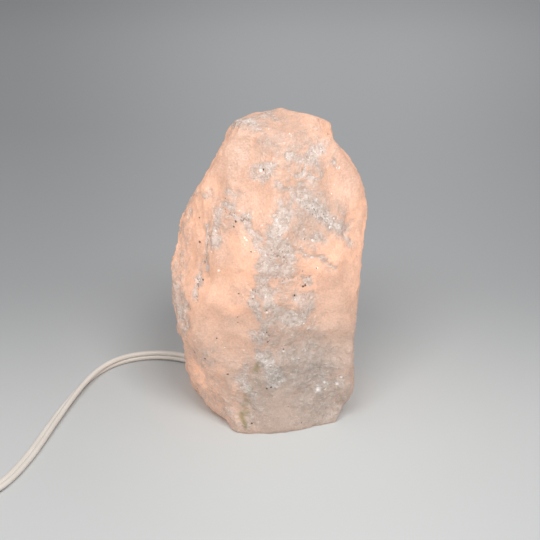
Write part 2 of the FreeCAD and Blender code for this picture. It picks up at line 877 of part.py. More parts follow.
def make_switch_top():
    """Upper shell: rounded over, with the rocker's window, its two cheeks and the screw posts."""
    lid = box(-half_length, half_length, -half_width, half_width, switch_split, switch_height)
    upright = [e for e in lid.Edges if abs(e.tangentAt(e.FirstParameter).z) > 0.9]
    lid = lid.makeFillet(4.0, upright)
    lid = lid.makeFillet(2.5, [e for e in lid.Edges if e.BoundBox.ZMin > switch_height - 0.01])
    w = switch_wall
    top = switch_height - w
    hollow = box(-half_length + w, half_length - w, -half_width + w, half_width - w, switch_split, top)
    upright = [e for e in hollow.Edges if abs(e.tangentAt(e.FirstParameter).z) > 0.9]
    lid = lid.cut(hollow.makeFillet(4.0 - w, upright))
    for side in (-1, 1):
        near, far = sorted((side * cheek_inner, side * cheek_outer))
        lid = lid.fuse(box(-4, 4, near, far, cheek_low, top))
    for x in screw_places:
        lid = lid.fuse(cylinder(switch_post_radius, switch_split, top, x))
    lid = lid.removeSplitter()
    window = rocker_length / 2 + window_end
    lid = lid.cut(box(-window, window, -cheek_inner, cheek_inner, cheek_low - 1, switch_height + 1))
    bearing = rod(V(0, -cheek_outer, rocker_axis), V(0, 1, 0), axle_radius + axle_clearance, 2 * cheek_outer)
    lid = lid.cut(bearing)
    for x in screw_places:
        lid = lid.cut(cylinder(switch_screw_radius, switch_split, top - 1.0, x))
    return at_switch(lid)


def make_rocker():
    """Rocker with its own axle, tipped to the on side."""
    half = rocker_length / 2
    outline = [
        V(-half, 0, rocker_under),
        V(half, 0, rocker_under),
        V(half, 0, rocker_end),
        V(0, 0, rocker_crown - 0.6),
        V(-half, 0, rocker_end + 0.6),
        V(-half, 0, rocker_under),
    ]
    paddle = Part.Face(Part.makePolygon(outline)).extrude(V(0, rocker_width, 0))
    paddle.translate(V(0, -rocker_half, 0))
    hub = rod(V(0, -rocker_half, 0), V(0, 1, 0), 2 * axle_radius, rocker_width)
    pins = rod(V(0, -rocker_half - axle_reach, 0), V(0, 1, 0), axle_radius, rocker_width + 2 * axle_reach)
    rocker = paddle.fuse(hub).fuse(pins).removeSplitter()
    rocker.rotate(V(0, 0, 0), V(0, 1, 0), -rocker_tilt)
    rocker.translate(V(0, 0, rocker_axis))
    return at_switch(rocker)


def make_switch_screw(index):
    """Screw that holds the two shells of the switch together."""
    x = screw_places[index]
    seat = switch_screw_head_height + 0.3
    head = cylinder(switch_screw_head, seat - switch_screw_head_height, seat, x)
    shank = cylinder(switch_screw_radius, seat, switch_height - switch_wall - 1.0, x)
    slot = box(x - switch_screw_head, x + switch_screw_head, -0.35, 0.35, 0, seat - 1.2)
    return at_switch(head.fuse(shank).removeSplitter().cut(slot))


def make_switch_contact(index):
    """Brass strip on the tray's floor with a raised contact under one end of the rocker."""
    side = 1 if index else -1
    half = leaf_width / 2
    low = switch_wall
    post_start = leaf_start + 1.0
    foot = box(leaf_start, leaf_end, -half, half, low, low + leaf_thickness)
    post = box(post_start, post_start + leaf_post_length, -half, half, low, low + leaf_post_height)
    contact = foot.fuse(post).removeSplitter()
    if side < 0:
        contact.rotate(V(0, 0, 0), UP, 180)
    return at_switch(contact)


# Plug

plug_start = coil_joint(2 * coil_half_turns)[0] + V(0, coil_tail, 0)
plug_face = plug_start + V(0, plug_relief_length, 0)
plug_height = 2 * plug_axis


def make_plug_relief():
    """Tapered strain relief of the plug."""
    return Part.makeCone(relief_tip_radius, plug_relief_radius, plug_relief_length, plug_start, V(0, 1, 0))


def blade_x(index):
    """Place of a blade across the plug."""
    return plug_face.x + (index - 0.5) * blade_spacing


def make_blade(index):
    """Flat blade with a rounded hole near its end."""
    half = blade_widths[index] / 2
    x = blade_x(index)
    low = plug_face.y + plug_length - blade_root
    high = plug_face.y + plug_length + blade_length
    t = blade_thickness / 2
    blade = box(x - t, x + t, low, high, plug_axis - half, plug_axis + half)
    blade = blade.makeChamfer(0.45, [e for e in blade.Edges if e.BoundBox.YMin > high - 0.01])
    hole = rod(V(x - 2 * t, high - 4.0, plug_axis), V(1, 0, 0), blade_hole_radius, 4 * t)
    return blade.cut(hole)


def make_plug_body():
    """Moulded plug with rounded edges and finger grooves on its sides."""
    half = plug_width / 2
    low = plug_face.y
    high = low + plug_length
    body = box(plug_face.x - half, plug_face.x + half, low, high, 0, plug_height)
    body = body.makeFillet(3.0, [e for e in body.Edges if abs(e.tangentAt(e.FirstParameter).y) > 0.9])
    body = body.makeFillet(1.2, [e for e in body.Edges if e.BoundBox.YMax < low + 0.01])
    for side in (-1, 1):
        for step in range(3):
            place = low + grip_start + grip_spacing * step
            groove = cylinder(grip_radius, -1, plug_height + 1, plug_face.x + side * (half + 0.5), place)
            body = body.cut(groove)
    for index in (0, 1):
        half_blade = blade_widths[index] / 2
        x = blade_x(index)
        t = blade_thickness / 2
        slot = box(x - t, x + t, high - blade_root, high, plug_axis - half_blade, plug_axis + half_blade)
        body = body.cut(slot)
    return body


def main():
    """Makes and saves every piece."""
    os.makedirs("parts", exist_ok=True)
    save(make_stone(), "quartz_body")
    save(make_cap(), "holder_cap")
    save(make_body(), "holder_body")
    save(make_relief(), "strain_relief")
    save(make_screw_shell(), "screw_shell")
    save(make_centre_contact(), "centre_contact")
    for number, side in ((1, 1), (2, -1)):
        save(make_terminal(side), "terminal_screw_%d" % number)
        save(make_lead_end(side), "lead_end_%d" % number)
        save(make_support(side), "bulb_support_%d" % number)
    for index in (0, 1):
        save(make_clip(index), "spring_clip_%d" % (index + 1))
        save(make_rivet(index), "clip_rivet_%d" % (index + 1))
        save(make_switch_screw(index), "switch_screw_%d" % (index + 1))
        save(make_switch_contact(index), "switch_contact_%d" % (index + 1))
        save(make_blade(index), "plug_blade_%d" % (index + 1))
    save(make_bulb_tip(), "bulb_tip")
    save(make_insulator(), "bulb_insulator")
    save(make_bulb_cap(), "bulb_cap")
    save(make_glass(), "bulb_glass")
    save(make_stem(), "bulb_stem")
    save(make_filament(), "bulb_filament")
    save(make_run(), "cord_run")
    save(make_coil(), "cord_coil")
    save(make_tie(), "coil_tie")
    save(make_switch_bottom(), "switch_bottom")
    save(make_switch_top(), "switch_top")
    save(make_rocker(), "switch_rocker")
    save(make_plug_relief(), "plug_relief")
    save(make_plug_body(), "plug_body")


main()
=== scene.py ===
import math

import bpy
import numpy as np
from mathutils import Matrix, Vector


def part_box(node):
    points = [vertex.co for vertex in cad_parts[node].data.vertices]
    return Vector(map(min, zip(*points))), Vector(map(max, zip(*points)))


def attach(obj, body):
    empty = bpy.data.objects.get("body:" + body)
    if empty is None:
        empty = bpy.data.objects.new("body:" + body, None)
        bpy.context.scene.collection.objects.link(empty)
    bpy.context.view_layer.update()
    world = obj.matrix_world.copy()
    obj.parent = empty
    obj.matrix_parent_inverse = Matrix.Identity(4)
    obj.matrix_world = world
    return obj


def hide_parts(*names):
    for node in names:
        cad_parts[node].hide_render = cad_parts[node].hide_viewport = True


bl_info = {
    "name": "Quartz lamp",
    "version": (1, 0, 0),
    "blender": (4, 5, 0),
    "location": "View3D > Sidebar > Quartz lamp",
    "description": "Dresses the quartz lamp: lit stone, flat twin lead, holder, bulb, switch and plug",
    "category": "Object",
}

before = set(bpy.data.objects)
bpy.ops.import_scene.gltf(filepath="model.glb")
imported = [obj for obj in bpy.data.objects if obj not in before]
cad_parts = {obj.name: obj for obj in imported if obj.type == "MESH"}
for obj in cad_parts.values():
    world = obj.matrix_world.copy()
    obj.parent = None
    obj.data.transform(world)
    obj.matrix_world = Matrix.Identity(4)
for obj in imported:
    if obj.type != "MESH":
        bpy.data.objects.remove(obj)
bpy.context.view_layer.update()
MM = 0.001
UP = np.array([0.0, 0.0, 1.0])


def linear(code):
    """Linear red, green and blue of an sRGB hex colour."""
    parts = [int(code[i : i + 2], 16) / 255 for i in (0, 2, 4)]
    return tuple(c / 12.92 if c <= 0.04045 else ((c + 0.055) / 1.055) ** 2.4 for c in parts)


def node(tree, kind, settings=None, inputs=None):
    """Adds one node: its own settings, then each input from a value or from another node's socket."""
    made = tree.nodes.new(kind)
    for key, value in (settings or {}).items():
        setattr(made, key, value)
    for key, value in (inputs or {}).items():
        if isinstance(value, bpy.types.NodeSocket):
            tree.links.new(value, made.inputs[key])
        else:
            made.inputs[key].default_value = value
    return made


def new_finish(name):
    """Empty material with its tree, its Principled shader and its Object coordinates in millimetres."""
    finish = bpy.data.materials.new(name)
    finish.use_nodes = True
    tree = finish.node_tree
    tree.nodes.clear()
    shader = node(tree, "ShaderNodeBsdfPrincipled")
    node(tree, "ShaderNodeOutputMaterial", inputs={"Surface": shader.outputs[0]})
    place = node(tree, "ShaderNodeTexCoord")
    millimetres = node(
        tree,
        "ShaderNodeVectorMath",
        {"operation": "SCALE"},
        {0: place.outputs["Object"], "Scale": 1000.0},
    )
    return finish, tree, shader, millimetres.outputs[0]


def mottle(tree, shader, place, size, detail, dark, pale):
    """Colours a surface between two tones by noise of a size in millimetres, and gives that noise's share."""
    cloud = node(tree, "ShaderNodeTexNoise", inputs={"Vector": place, "Scale": 1 / size, "Detail": detail})
    share = cloud.outputs["Fac"]
    tone = node(tree, "ShaderNodeMix", {"data_type": "RGBA"}, {0: share, 6: (*dark, 1), 7: (*pale, 1)})
    tree.links.new(tone.outputs[2], shader.inputs["Base Color"])
    return share


def sheen_and_grain(tree, shader, sheen, low, high, grain, strength, depth):
    """Roughness between two values by one noise's share, and bumps of a depth in metres by another's."""
    rough = node(tree, "ShaderNodeMapRange", inputs={0: sheen, 1: 0.3, 2: 0.7, 3: low, 4: high})
    tree.links.new(rough.outputs[0], shader.inputs["Roughness"])
    bump = node(
        tree, "ShaderNodeBump", inputs={"Height": grain, "Strength": strength, "Distance": depth}
    )
    tree.links.new(bump.outputs[0], shader.inputs["Normal"])


def grid_faces(rows, columns):
    """Quads between neighbouring rows of a grid that closes round its columns."""
    first = np.arange(rows - 1)[:, None] * columns
    here = first + np.arange(columns)
    beside = first + (np.arange(columns) + 1) % columns
    return np.stack([here, beside, beside + columns, here + columns], axis=-1).reshape(-1, 4)


def new_piece(name, points, quads, ends, finish, body):
    """Object at the origin from points in metres, its quads and the faces that close its ends, on a body."""
    mesh = bpy.data.meshes.new(name)
    mesh.from_pydata(points.tolist(), [], quads.tolist() + ends.tolist())
    mesh.polygons.foreach_set("use_smooth", np.ones(len(mesh.polygons), bool))
    mesh.materials.append(finish)
    mesh.update()
    piece = bpy.data.objects.new(name, mesh)
    bpy.context.scene.collection.objects.link(piece)
    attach(piece, body)
    return piece


def dress(finish, *names):
    """Gives a finish to CAD nodes that keep their own shape."""
    for name in names:
        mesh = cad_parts[name].data
        mesh.materials.clear()
        mesh.materials.append(finish)


def smooth(low, high, value):
    """Eased share, from 0 at low to 1 at high."""
    t = np.clip((value - low) / (high - low), 0, 1)
    return t * t * (3 - 2 * t)


# Stone: noise


def scatter(cells, seed):
    """Three pseudo-random shares for each whole-numbered cell."""
    mixing = np.array([[127.1, 269.5, 419.2], [311.7, 183.3, 371.9], [74.7, 246.1, 168.3]])
    return np.modf(np.abs(np.sin(cells @ mixing + seed) * 43758.5453))[0]


def swell(places, size, seed):
    """Smooth noise from -1 to 1: random heights on a lattice of a size in millimetres, eased between its
    corners."""
    grid = places / size
    base = np.floor(grid)
    t = grid - base
    t = t * t * (3 - 2 * t)
    total = np.zeros(len(places))
    for corner in np.ndindex(2, 2, 2):
        share = np.prod(np.where(corner, t, 1 - t), axis=1)
        total += share * (2 * scatter(base + corner, seed)[:, 0] - 1)
    return total


def bowls(places, size, seed):
    """Distance to the nearest of scattered centres, in cells of a size in millimetres, and that cell's own
    share."""
    grid = places / size
    base = np.floor(grid)
    nearest = np.full(len(places), 9.0)
    share = np.zeros(len(places))
    for corner in np.ndindex(3, 3, 3):
        cell = base + np.array(corner) - 1
        spots = scatter(cell, seed)
        apart = np.linalg.norm(cell + spots - grid, axis=1)
        closer = apart < nearest
        nearest = np.where(closer, apart, nearest)
        share = np.where(closer, np.modf(spots[:, 0] * 7.31 + spots[:, 2] * 3.17)[0], share)
    return nearest, share


def from_strokes(places, strokes):
    """Largest share of any stroke at each place: its strength on its line of points, eased to 0 a little
    past its half width."""
    share = np.zeros(len(places))
    for half_width, strength, line in strokes:
        line = np.array(line, float)
        apart = np.full(len(places), 1e9)
        for a, b in zip(line, np.vstack([line[1:], line[-1:]])):
            t = np.clip((places - a) @ (b - a) / max((b - a) @ (b - a), 1e-9), 0, 1)
            apart = np.minimum(apart, np.linalg.norm(places - a - t[:, None] * (b - a), axis=1))
        share = np.maximum(share, strength * smooth(1.3, 0.1, apart / half_width))
    return share


# Fractures on the front of the stone: half width in millimetres, strength, and points in millimetres.
FRACTURES = [
    (3.4, 0.8, [
        (-8, -32, 133), (-5, -31, 136), (0, -33, 137), (2, -35, 135), (-3, -34, 132), (-8, -32, 133),
    ]),
    (3.6, 1.1, [(9, -29, 143), (13, -28, 141), (17, -26, 140), (21, -24, 141), (25, -22, 141)]),
    (3.2, 1.1, [(21, -25, 139), (19, -27, 137), (17, -29, 134), (14, -31, 133)]),
    (1.8, 1.0, [(25, -25, 133), (21, -29, 131), (16, -32, 129)]),
    (1.3, 1.0, [(3, -35, 134), (6, -36, 131), (9, -36, 129)]),
    (3.0, 0.9, [(6, -37, 130), (9, -36, 129), (12, -35, 127)]),
    (1.8, 0.9, [(32, -21, 136), (34, -20, 134)]),
    (2.2, 0.6, [(-34, -20, 119), (-29, -24, 121), (-25, -28, 122), (-20, -32, 124), (-14, -34, 124)]),
    (4.6, 1.1, [(15, -34, 126), (11, -37, 124), (9, -40, 121), (6, -43, 117), (5, -45, 111), (3, -46, 108)]),
    (6.0, 1.0, [(4, -47, 108), (7, -46, 104), (9, -45, 98)]),
    (3.5, 0.9, [(-1, -47, 103), (-3, -47, 105), (-7, -44, 108), (-8, -42, 111)]),
    (6.0, 1.0, [(2, -47, 103), (-1, -48, 97), (2, -47, 92), (8, -45, 91), (11, -44, 96), (10, -45, 102)]),
    (5.5, 1.0, [(-3, -47, 87), (-1, -47, 82), (0, -46, 77)]),
    (2.8, 0.9, [(1, -46, 88), (8, -45, 89), (13, -43, 88), (18, -41, 87), (21, -39, 85)]),
    (6.5, 0.9, [(15, -42, 77), (19, -39, 71), (15, -41, 66), (10, -43, 66), (4, -45, 70), (1, -46, 75)]),
    (5.0, 0.8, [(2, -45, 67), (-2, -46, 63), (-4, -45, 59), (-3, -45, 57)]),
    (4.0, 0.9, [(-6, -46, 81), (-7, -46, 74), (-6, -46, 68)]),
    (4.0, 0.8, [(-21, -33, 119), (-18, -35, 118), (-14, -37, 117), (-11, -40, 115), (-9, -41, 112)]),
    (5.0, 0.9, [(-23, -34, 113), (-23, -35, 109), (-26, -35, 104), (-25, -38, 101)]),
    (5.5, 1.0, [(17, -35, 121), (20, -34, 119), (24, -34, 117), (27, -34, 113), (31, -32, 112)]),
    (4.5, 1.0, [(31, -32, 112), (34, -31, 109), (37, -31, 106), (40, -28, 99)]),
    (4.0, 0.8, [(16, -40, 112), (17, -42, 107), (20, -42, 104), (23, -39, 106)]),
    (3.0, 0.8, [(16, -43, 101), (19, -42, 98), (24, -40, 96), (28, -39, 92), (30, -38, 90)]),
    (2.8, 1.0, [
        (-28, -31, 107), (-29, -33, 102), (-29, -35, 96), (-30, -36, 89), (-33, -35, 81), (-34, -37, 75),
    ]),
    (5.0, 0.7, [(-37, -19, 111), (-40, -18, 104), (-42, -19, 97), (-44, -19, 91)]),
    (6.0, 0.8, [(-45, -24, 76), (-43, -27, 72), (-40, -31, 70), (-42, -30, 65), (-41, -34, 59)]),
    (5.5, 1.0, [(-3, -44, 46), (0, -44, 41), (3, -43, 36), (6, -42, 31), (4, -42, 29)]),
    (5.5, 0.8, [(-12, -41, 36), (-14, -41, 31), (-11, -42, 27), (-7, -42, 23), (-9, -41, 18)]),
    (2.6, 0.8, [(24, -35, 23), (27, -34, 21)]),
    (2.0, 0.6, [(35, -32, 25), (37, -32, 28)]),
    (2.0, 0.6, [(8, -41, 48), (9, -41, 47)]),
    (2.6, 0.8, [(-28, -25, 122), (-25, -28, 124)]),
    (2.0, 0.8, [(-13, -35, 123), (-11, -35, 124)]),
]
# Wide pale veils between them, in the same form, as are the stains, cracks and creases further down.
VEILS = [
    (16.0, 0.42, [(4, -30, 148), (14, -28, 144), (22, -24, 142)]),
    (15.0, 0.42, [(20, -34, 124), (14, -40, 112), (6, -46, 100), (4, -46, 86), (8, -44, 72), (4, -44, 60)]),
    (12.0, 0.38, [(-16, -36, 116), (-24, -35, 108)]),
    (10.0, 0.5, [(-43, -20, 100), (-44, -24, 82), (-42, -30, 66)]),
    (13.0, 0.4, [(-6, -42, 40), (-8, -42, 24), (-11, -40, 8)]),
    (12.0, 0.3, [(34, -31, 112), (40, -28, 98)]),
    (7.0, 0.95, [(-15, -11, 152), (-10, -14, 153), (-6, -18, 152)]),
    (12.0, 0.24, [(-14, -14, 151), (0, -16, 153), (8, -14, 154)]),
    (9.0, 0.6, [(-46, -22, 74), (-44, -27, 62), (-42, -30, 52)]),
    (6.5, 0.8, [(17, -34, 121), (27, -33, 114), (37, -29, 105)]),
    # Partly painted light: this veil is pale also to lift the lower left flank, which faces away from the
    # lamps.
    (14.0, 0.46, [(-32, -35, 42), (-31, -35, 30), (-29, -33, 18), (-18, -38, 5)]),
    (22.0, 0.46, [(12, -40, 52), (24, -36, 30), (30, -33, 12)]),
]
# Places where the stone stands out from the CAD stone or back from it: middle, radius and height in mm.
SWELLINGS = [
    ((50, -8, 113), 30.0, 1.5),
    ((42, -30, 34), 18.0, 2.0),
    ((42, -26, 20), 13.0, 3.8),
    ((39, 11, 128), 9.0, 1.2),
    ((18, -10, 155), 9.0, 1.0),
    ((22, -13, 154), 9.0, 1.0),
    ((25, 2, 150), 9.0, 1.7),
    ((6, 9, 153), 8.0, -0.9),
    ((-15, 1, 150), 9.0, -1.3),
    ((-7, 12, 149), 8.0, 0.8),
    ((-17, -8, 147), 8.0, 1.3),
    ((-22, -8, 140), 7.0, -0.8),
    ((-26, -20, 136), 7.0, -1.8),
    ((-29, -1, 127), 11.0, -2.2),
    ((-34, -7, 119), 7.0, -0.7),
    ((-38, -15, 114), 9.0, -2.4),
    ((-36, 20, 110), 8.0, -0.9),
    ((-37, -6, 113), 8.0, -0.8),
    ((-42, 19, 98), 7.0, -1.3),
    ((-45, 17, 91), 12.0, 1.0),
    ((-46, -22, 58), 9.0, -1.1),
    ((-31, -23, 7), 8.0, 1.2),
    ((-22, -32, 1), 7.0, -1.2),
    ((49, 14, 71), 10.0, -0.9),
    ((46, -20, 91), 8.0, -0.8),
    ((43, -22, 26), 8.0, 0.9),
    ((39, -29, 9), 6.0, -0.8),
    ((-50, 9, 44), 9.0, -1.2),
    ((-47, 7, 33), 7.0, 1.8),
    ((-46, 5, 29), 5.0, -1.2),
    ((-44, 11, 9), 6.0, 1.4),
    ((-42, 9, 1), 6.0, -2.6),
    ((-35, -6, 0), 5.0, 1.0),
    ((-12, -40, 0), 13.0, 2.2),
    ((14, -37, 0), 14.0, 1.5),
]
# Green-brown mineral stain at the foot.
STAINS = [
    (2.4, 0.75, [(-4, -43, 41), (-6, -42, 36)]),
    (3.0, 0.3, [(-7, -42, 30), (-9, -42, 25)]),
    (2.8, 1.0, [(-11, -41, 21), (-12, -41, 16), (-12, -40, 10), (-11, -40, 5)]),
]
# Dark hair cracks.
CRACKS = [
    (1.2, 1.0, [(-27, -32, 105), (-28, -33, 101), (-29, -34, 96), (-30, -35, 91), (-32, -34, 86)]),
    (1.2, 1.0, [(-32, -34, 86), (-33, -35, 80), (-33, -37, 76), (-34, -38, 71)]),
    (1.0, 0.8, [(-40, -22, 90), (-41, -22, 86), (-44, -20, 83)]),
    (1.4, 1.0, [(-21, -33, 118), (-18, -36, 117), (-14, -38, 115), (-9, -40, 115)]),
    (1.2, 1.0, [(-9, -45, 84), (-7, -45, 82), (-5, -46, 82)]),
    (1.4, 0.9, [(6, -44, 86), (9, -44, 87), (12, -43, 87), (15, -42, 87), (20, -40, 86)]),
    (1.3, 0.9, [(3, -47, 100), (6, -46, 99), (8, -45, 96)]),
    (1.0, 0.7, [(40, -27, 100), (41, -27, 98), (40, -28, 96)]),
    (1.2, 0.9, [(-3, -45, 60), (0, -44, 57), (1, -43, 53)]),
    (1.0, 0.5, [(1, -15, 153), (4, -17, 153), (8, -15, 153)]),
    (1.0, 0.6, [(-24, -41, 57), (-23, -42, 53), (-22, -41, 50)]),
    (5.0, 0.3, [(18, -35, 120), (23, -34, 116), (28, -34, 112)]),
    (0.9, 0.8, [(-11, -28, 141), (-13, -30, 135), (-15, -31, 129)]),
]
# Bright chips with painted glints and dark pits with painted shade on the front: x, z and radius in
# millimetres.
PAINTED_GLINTS = [
    (-2.5, 136.0, 1.2), (-22.0, 91.5, 0.9), (-23.5, 108.0, 0.8), (-10.0, 108.0, 0.8), (-9.0, 107.0, 0.7),
    (31.0, 113.0, 0.7), (29.0, 109.5, 0.9), (21.0, 105.0, 0.9), (18.0, 99.0, 0.8), (20.5, 97.5, 0.8),
    (12.0, 92.5, 0.7), (23.5, 91.5, 0.7), (0.5, 88.0, 0.9), (0.0, 71.5, 0.8), (17.0, 67.5, 0.7),
    (17.5, 62.0, 0.7), (8.0, 47.5, 0.9), (2.0, 41.5, 0.7), (28.5, 26.0, 1.1), (35.0, 25.0, 1.4),
    (37.0, 29.0, 1.1), (25.5, 22.5, 1.8), (6.0, 30.5, 0.7), (33.5, 133.5, 0.8), (10.5, 150.5, 0.5),
]
# Painted shade: near-black spots where small holes are, with no hole in the mesh.
PAINTED_SHADE_PITS = [
    (-1.5, 136.5, 0.5), (17.0, 82.0, 0.8), (18.0, 82.5, 0.8), (13.0, 78.5, 0.6), (0.5, 54.0, 0.7),
    (0.0, 28.0, 0.7), (2.0, 28.5, 0.7), (0.0, 72.5, 0.5), (-31.5, 110.5, 0.5), (-31.5, 99.5, 0.7),
    (-14.0, 114.0, 0.7), (-15.0, 111.5, 0.6), (-30.0, 83.0, 0.5), (-30.0, 42.5, 0.6), (-19.0, 35.0, 0.7),
    (-7.5, 7.0, 0.6), (-24.0, 55.0, 0.5), (-35.5, 42.5, 0.5), (8.0, 48.5, 0.5),
]
# A crease below the crown.
CREASES = [(2.2, 1.0, [(-9, -27, 143), (-10, -28, 139), (-12, -30, 135), (-14, -31, 131)])]
# Spots of painted light that pass more of the bulb's light, or less, some of them lighting faces that turn
# from the lamps: middle, radius in millimetres, and added light.
PAINTED_LIGHT_SPOTS = [
    ((-20, -43, 76), 9.0, 0.35),
    ((-15, -43, 71), 6.0, 0.3),
    ((29, -38, 90), 8.0, 0.25),
    ((24, -18, 149), 7.0, 0.25),
    ((19, -42, 93), 6.0, 0.25),
    ((-27, -26, 124), 9.0, 0.2),
    # Painted light on the lower left flank, which faces away from the lamps.
    ((-31, -34, 27), 18.0, 0.8),
    ((16, -42, 74), 9.0, 0.45),
    # Painted light on the lower left edge of the foot, which faces away from the lamps.
    ((-22, -38, 10), 14.0, 0.25),
    ((22, -35, 114), 20.0, -0.42),
    ((4, -46, 112), 11.0, -0.16),
    ((-44, -28, 66), 13.0, -0.3),
    ((-9, -45, 82), 6.0, -0.2),
    # Painted light on the right flank, which turns away from the right lamp.
    ((41, -24, 80), 14.0, 0.22),
    ((18, -42, 103), 9.0, 0.18),
]


# Stone: shape


def last_hits(corners, origin, lines):
    """Distance along lines from an origin to the last triangle that each one meets, for a grid of lines whose
    columns turn about Z. A block of columns is tested only against triangles in its own slice."""
    rows, columns, _ = lines.shape
    found = np.zeros((rows, columns))
    turn = np.arctan2(lines[0, :, 1], lines[0, :, 0])
    block = 8
    spread = math.tan(1.3 * math.pi * block / columns)
    for first in range(0, columns, block):
        end = min(first + block, columns)
        middle = turn[first] + math.pi * (end - 1 - first) / columns
        ahead = corners[..., 0] * math.cos(middle) + corners[..., 1] * math.sin(middle)
        aside = corners[..., 1] * math.cos(middle) - corners[..., 0] * math.sin(middle)
        left = (aside > ahead * spread + 1e-6).all(1)
        right = (aside < -ahead * spread - 1e-6).all(1)
        a, b, c = (corners[~(left | right), k] for k in range(3))
        line = lines[:, first:end].reshape(-1, 1, 3)
        across = np.cross(line, (c - a)[None])
        size = np.einsum("ntk,tk->nt", across, b - a)
        size = np.where(np.abs(size) < 1e-14, 1e-14, size)
        start = origin - a
        other = np.cross(start, b - a)
        u = np.einsum("ntk,tk->nt", across, start) / size
        v = np.einsum("nik,tk->nt", line, other) / size
        far = np.einsum("tk,tk->t", c - a, other)[None] / size
        meets = (u > -1e-5) & (v > -1e-5) & (u + v < 1 + 1e-5) & (far > 0)
        found[:, first:end] = np.where(meets, far, 0).max(1).reshape(rows, -1)
    return found


def spokes(turn):
    """Level unit lines outwards from Z, one for each turn."""
    return np.stack([np.cos(turn), np.sin(turn), np.zeros(len(turn))], 1)


def eased(points):
    """Grid of points, closed round its columns, with each point drawn half way to its neighbours' mean."""
    beside = (np.roll(points, 1, 1) + np.roll(points, -1, 1)) / 2
    above = points.copy()
    above[1:-1] = (points[2:] + points[:-2]) / 2
    return points / 2 + beside / 4 + above / 4


def outward(points):
    """Unit normals of a grid of points that closes round its columns."""
    along = np.roll(points, -1, 1) - np.roll(points, 1, 1)
    normal = np.cross(along, np.gradient(points, axis=0))
    return normal / np.maximum(np.linalg.norm(normal, axis=2, keepdims=True), 1e-12)


def stone_marks(places):
    """Shares of fracture, stain and crack at places in millimetres: the strokes of the front, and round the
    back loose veins of the same kind, where a swell's height is near zero."""
    ragged = places + np.stack([swell(places, 4.5, seed) for seed in (3, 5, 8)], 1) * 2.6
    ragged += np.stack([swell(places, 1.9, seed) for seed in (9, 11, 14)], 1) * 1.2
    fracture = np.maximum(from_strokes(ragged, FRACTURES), from_strokes(ragged, VEILS))
    vein = swell(ragged * (1, 1, 0.6), 26.0, 21)
    vein = np.abs(vein + 0.5 * swell(ragged, 11.0, 23) + 0.3 * swell(ragged, 5.0, 31))
    vein = np.maximum(0.85 * smooth(0.24, 0.0, vein), 0.45 * smooth(0.6, 0.1, vein))
    back = smooth(-0.1, 0.5, swell(places, 34.0, 29)) * smooth(-22.0, -6.0, places[:, 1])
    fracture = np.maximum(fracture, vein * back)
    bent = places + 0.8 * swell(places, 3.0, 37)[:, None]
    hair = np.abs(swell(places * (1, 1, 0.5), 18.0, 25) + 0.3 * swell(places, 6.0, 27))
    crack = np.maximum(from_strokes(bent, CRACKS), 0.8 * smooth(0.06, 0.01, hair) * back)
    return fracture, from_strokes(ragged, STAINS), crack


def stone_outline(settings, corners):
    """Outer face of the CAD stone as a grid: on each column about Z its outline from base to crown, at even
    steps along it. Over the lead's groove the outline starts at the groove's top."""
    columns = settings.columns
    turn = np.arange(columns) * 2 * math.pi / columns
    flat = spokes(turn)
    heart = UP * settings.heart
    # The foot is found just over the base, and just over the groove where that runs out through the stone.
    just_over = 0.05 * MM
    foot = last_hits(corners, UP * just_over, flat[None])[0]
    over_groove = last_hits(corners, UP * (settings.groove_height + 2 * just_over), flat[None])[0]
    notch = np.abs(foot * np.sin(turn - settings.groove_turn)) < settings.groove_width / 2
    notch &= np.cos(turn - settings.groove_turn) > 0
    foot = np.where(notch, over_groove, foot)
    drop = np.where(notch, settings.groove_height, 0) - settings.heart

    def reached(tilt):
        lines = np.cos(tilt)[..., None] * flat + np.sin(tilt)[..., None] * UP
        reach = last_hits(corners, heart, lines)
        reach[0] = np.hypot(foot, drop)
        return heart + lines * reach[..., None]

    even = np.linspace(0, 1, settings.rows + 1)
    low = np.arctan2(drop, foot)
    tilt = low + (math.pi / 2 - low) * even[:, None]
    steps = np.linalg.norm(np.diff(reached(tilt), axis=0), axis=2)
    run = np.concatenate([np.zeros((1, columns)), np.cumsum(steps, axis=0)])
    run /= run[-1]
    tilt = np.stack([np.interp(even, run[:, j], tilt[:, j]) for j in range(columns)], 1)
    points = reached(tilt)
    points[-1] = points[-1].mean(0)
    return points, turn


def stone_lift(places):
    """Height in millimetres of the swellings and dents at each place, each eased from its middle to its
    radius."""
    lift = np.zeros(len(places))
    for middle, radius, height in SWELLINGS:
        lift += height * smooth(1.0, 0.0, np.linalg.norm(places - middle, axis=1) / radius)
    return lift


def stone_hollows(places, edge, flank, fracture, crack):
    """Depth of the broken surface at each place, as a share of a chip's depth: broad waves, three sizes of
    bowls that meet in ridges, deeper on edges and flanks, then cracks, a crease and grit in fractures."""
    chipped = smooth(-0.15, 0.35, swell(places, 22.0, 41))
    broken = np.maximum(edge, 0.22 * fracture)
    depth = 0.5 * swell(places, 24.0, 43) - 0.5 - 0.5 * flank
    bent = places + 1.2 * swell(places, 5.0, 47)[:, None]
    for size, tall, deep, where in (
        (6.5, 1.4, 1.1, np.maximum(0.25 + 0.3 * chipped + 0.3 * flank, broken)),
        (3.2, 2.0, 0.9, np.maximum(0.12 + 0.2 * chipped + 0.6 * flank, broken)),
        (2.2, 1.6, 0.75, np.maximum(0.08 + 0.6 * flank, 0.6 * broken)),
    ):
        apart, share = bowls(bent / (1, 1, tall), size, 51 + size)
        depth += deep * where * (0.5 + share) * (1 - np.minimum(apart, 1) ** 2)
    return depth + 0.5 * crack + 0.5 * from_strokes(places, CREASES) + 0.1 * fracture * swell(places, 1.6, 57)


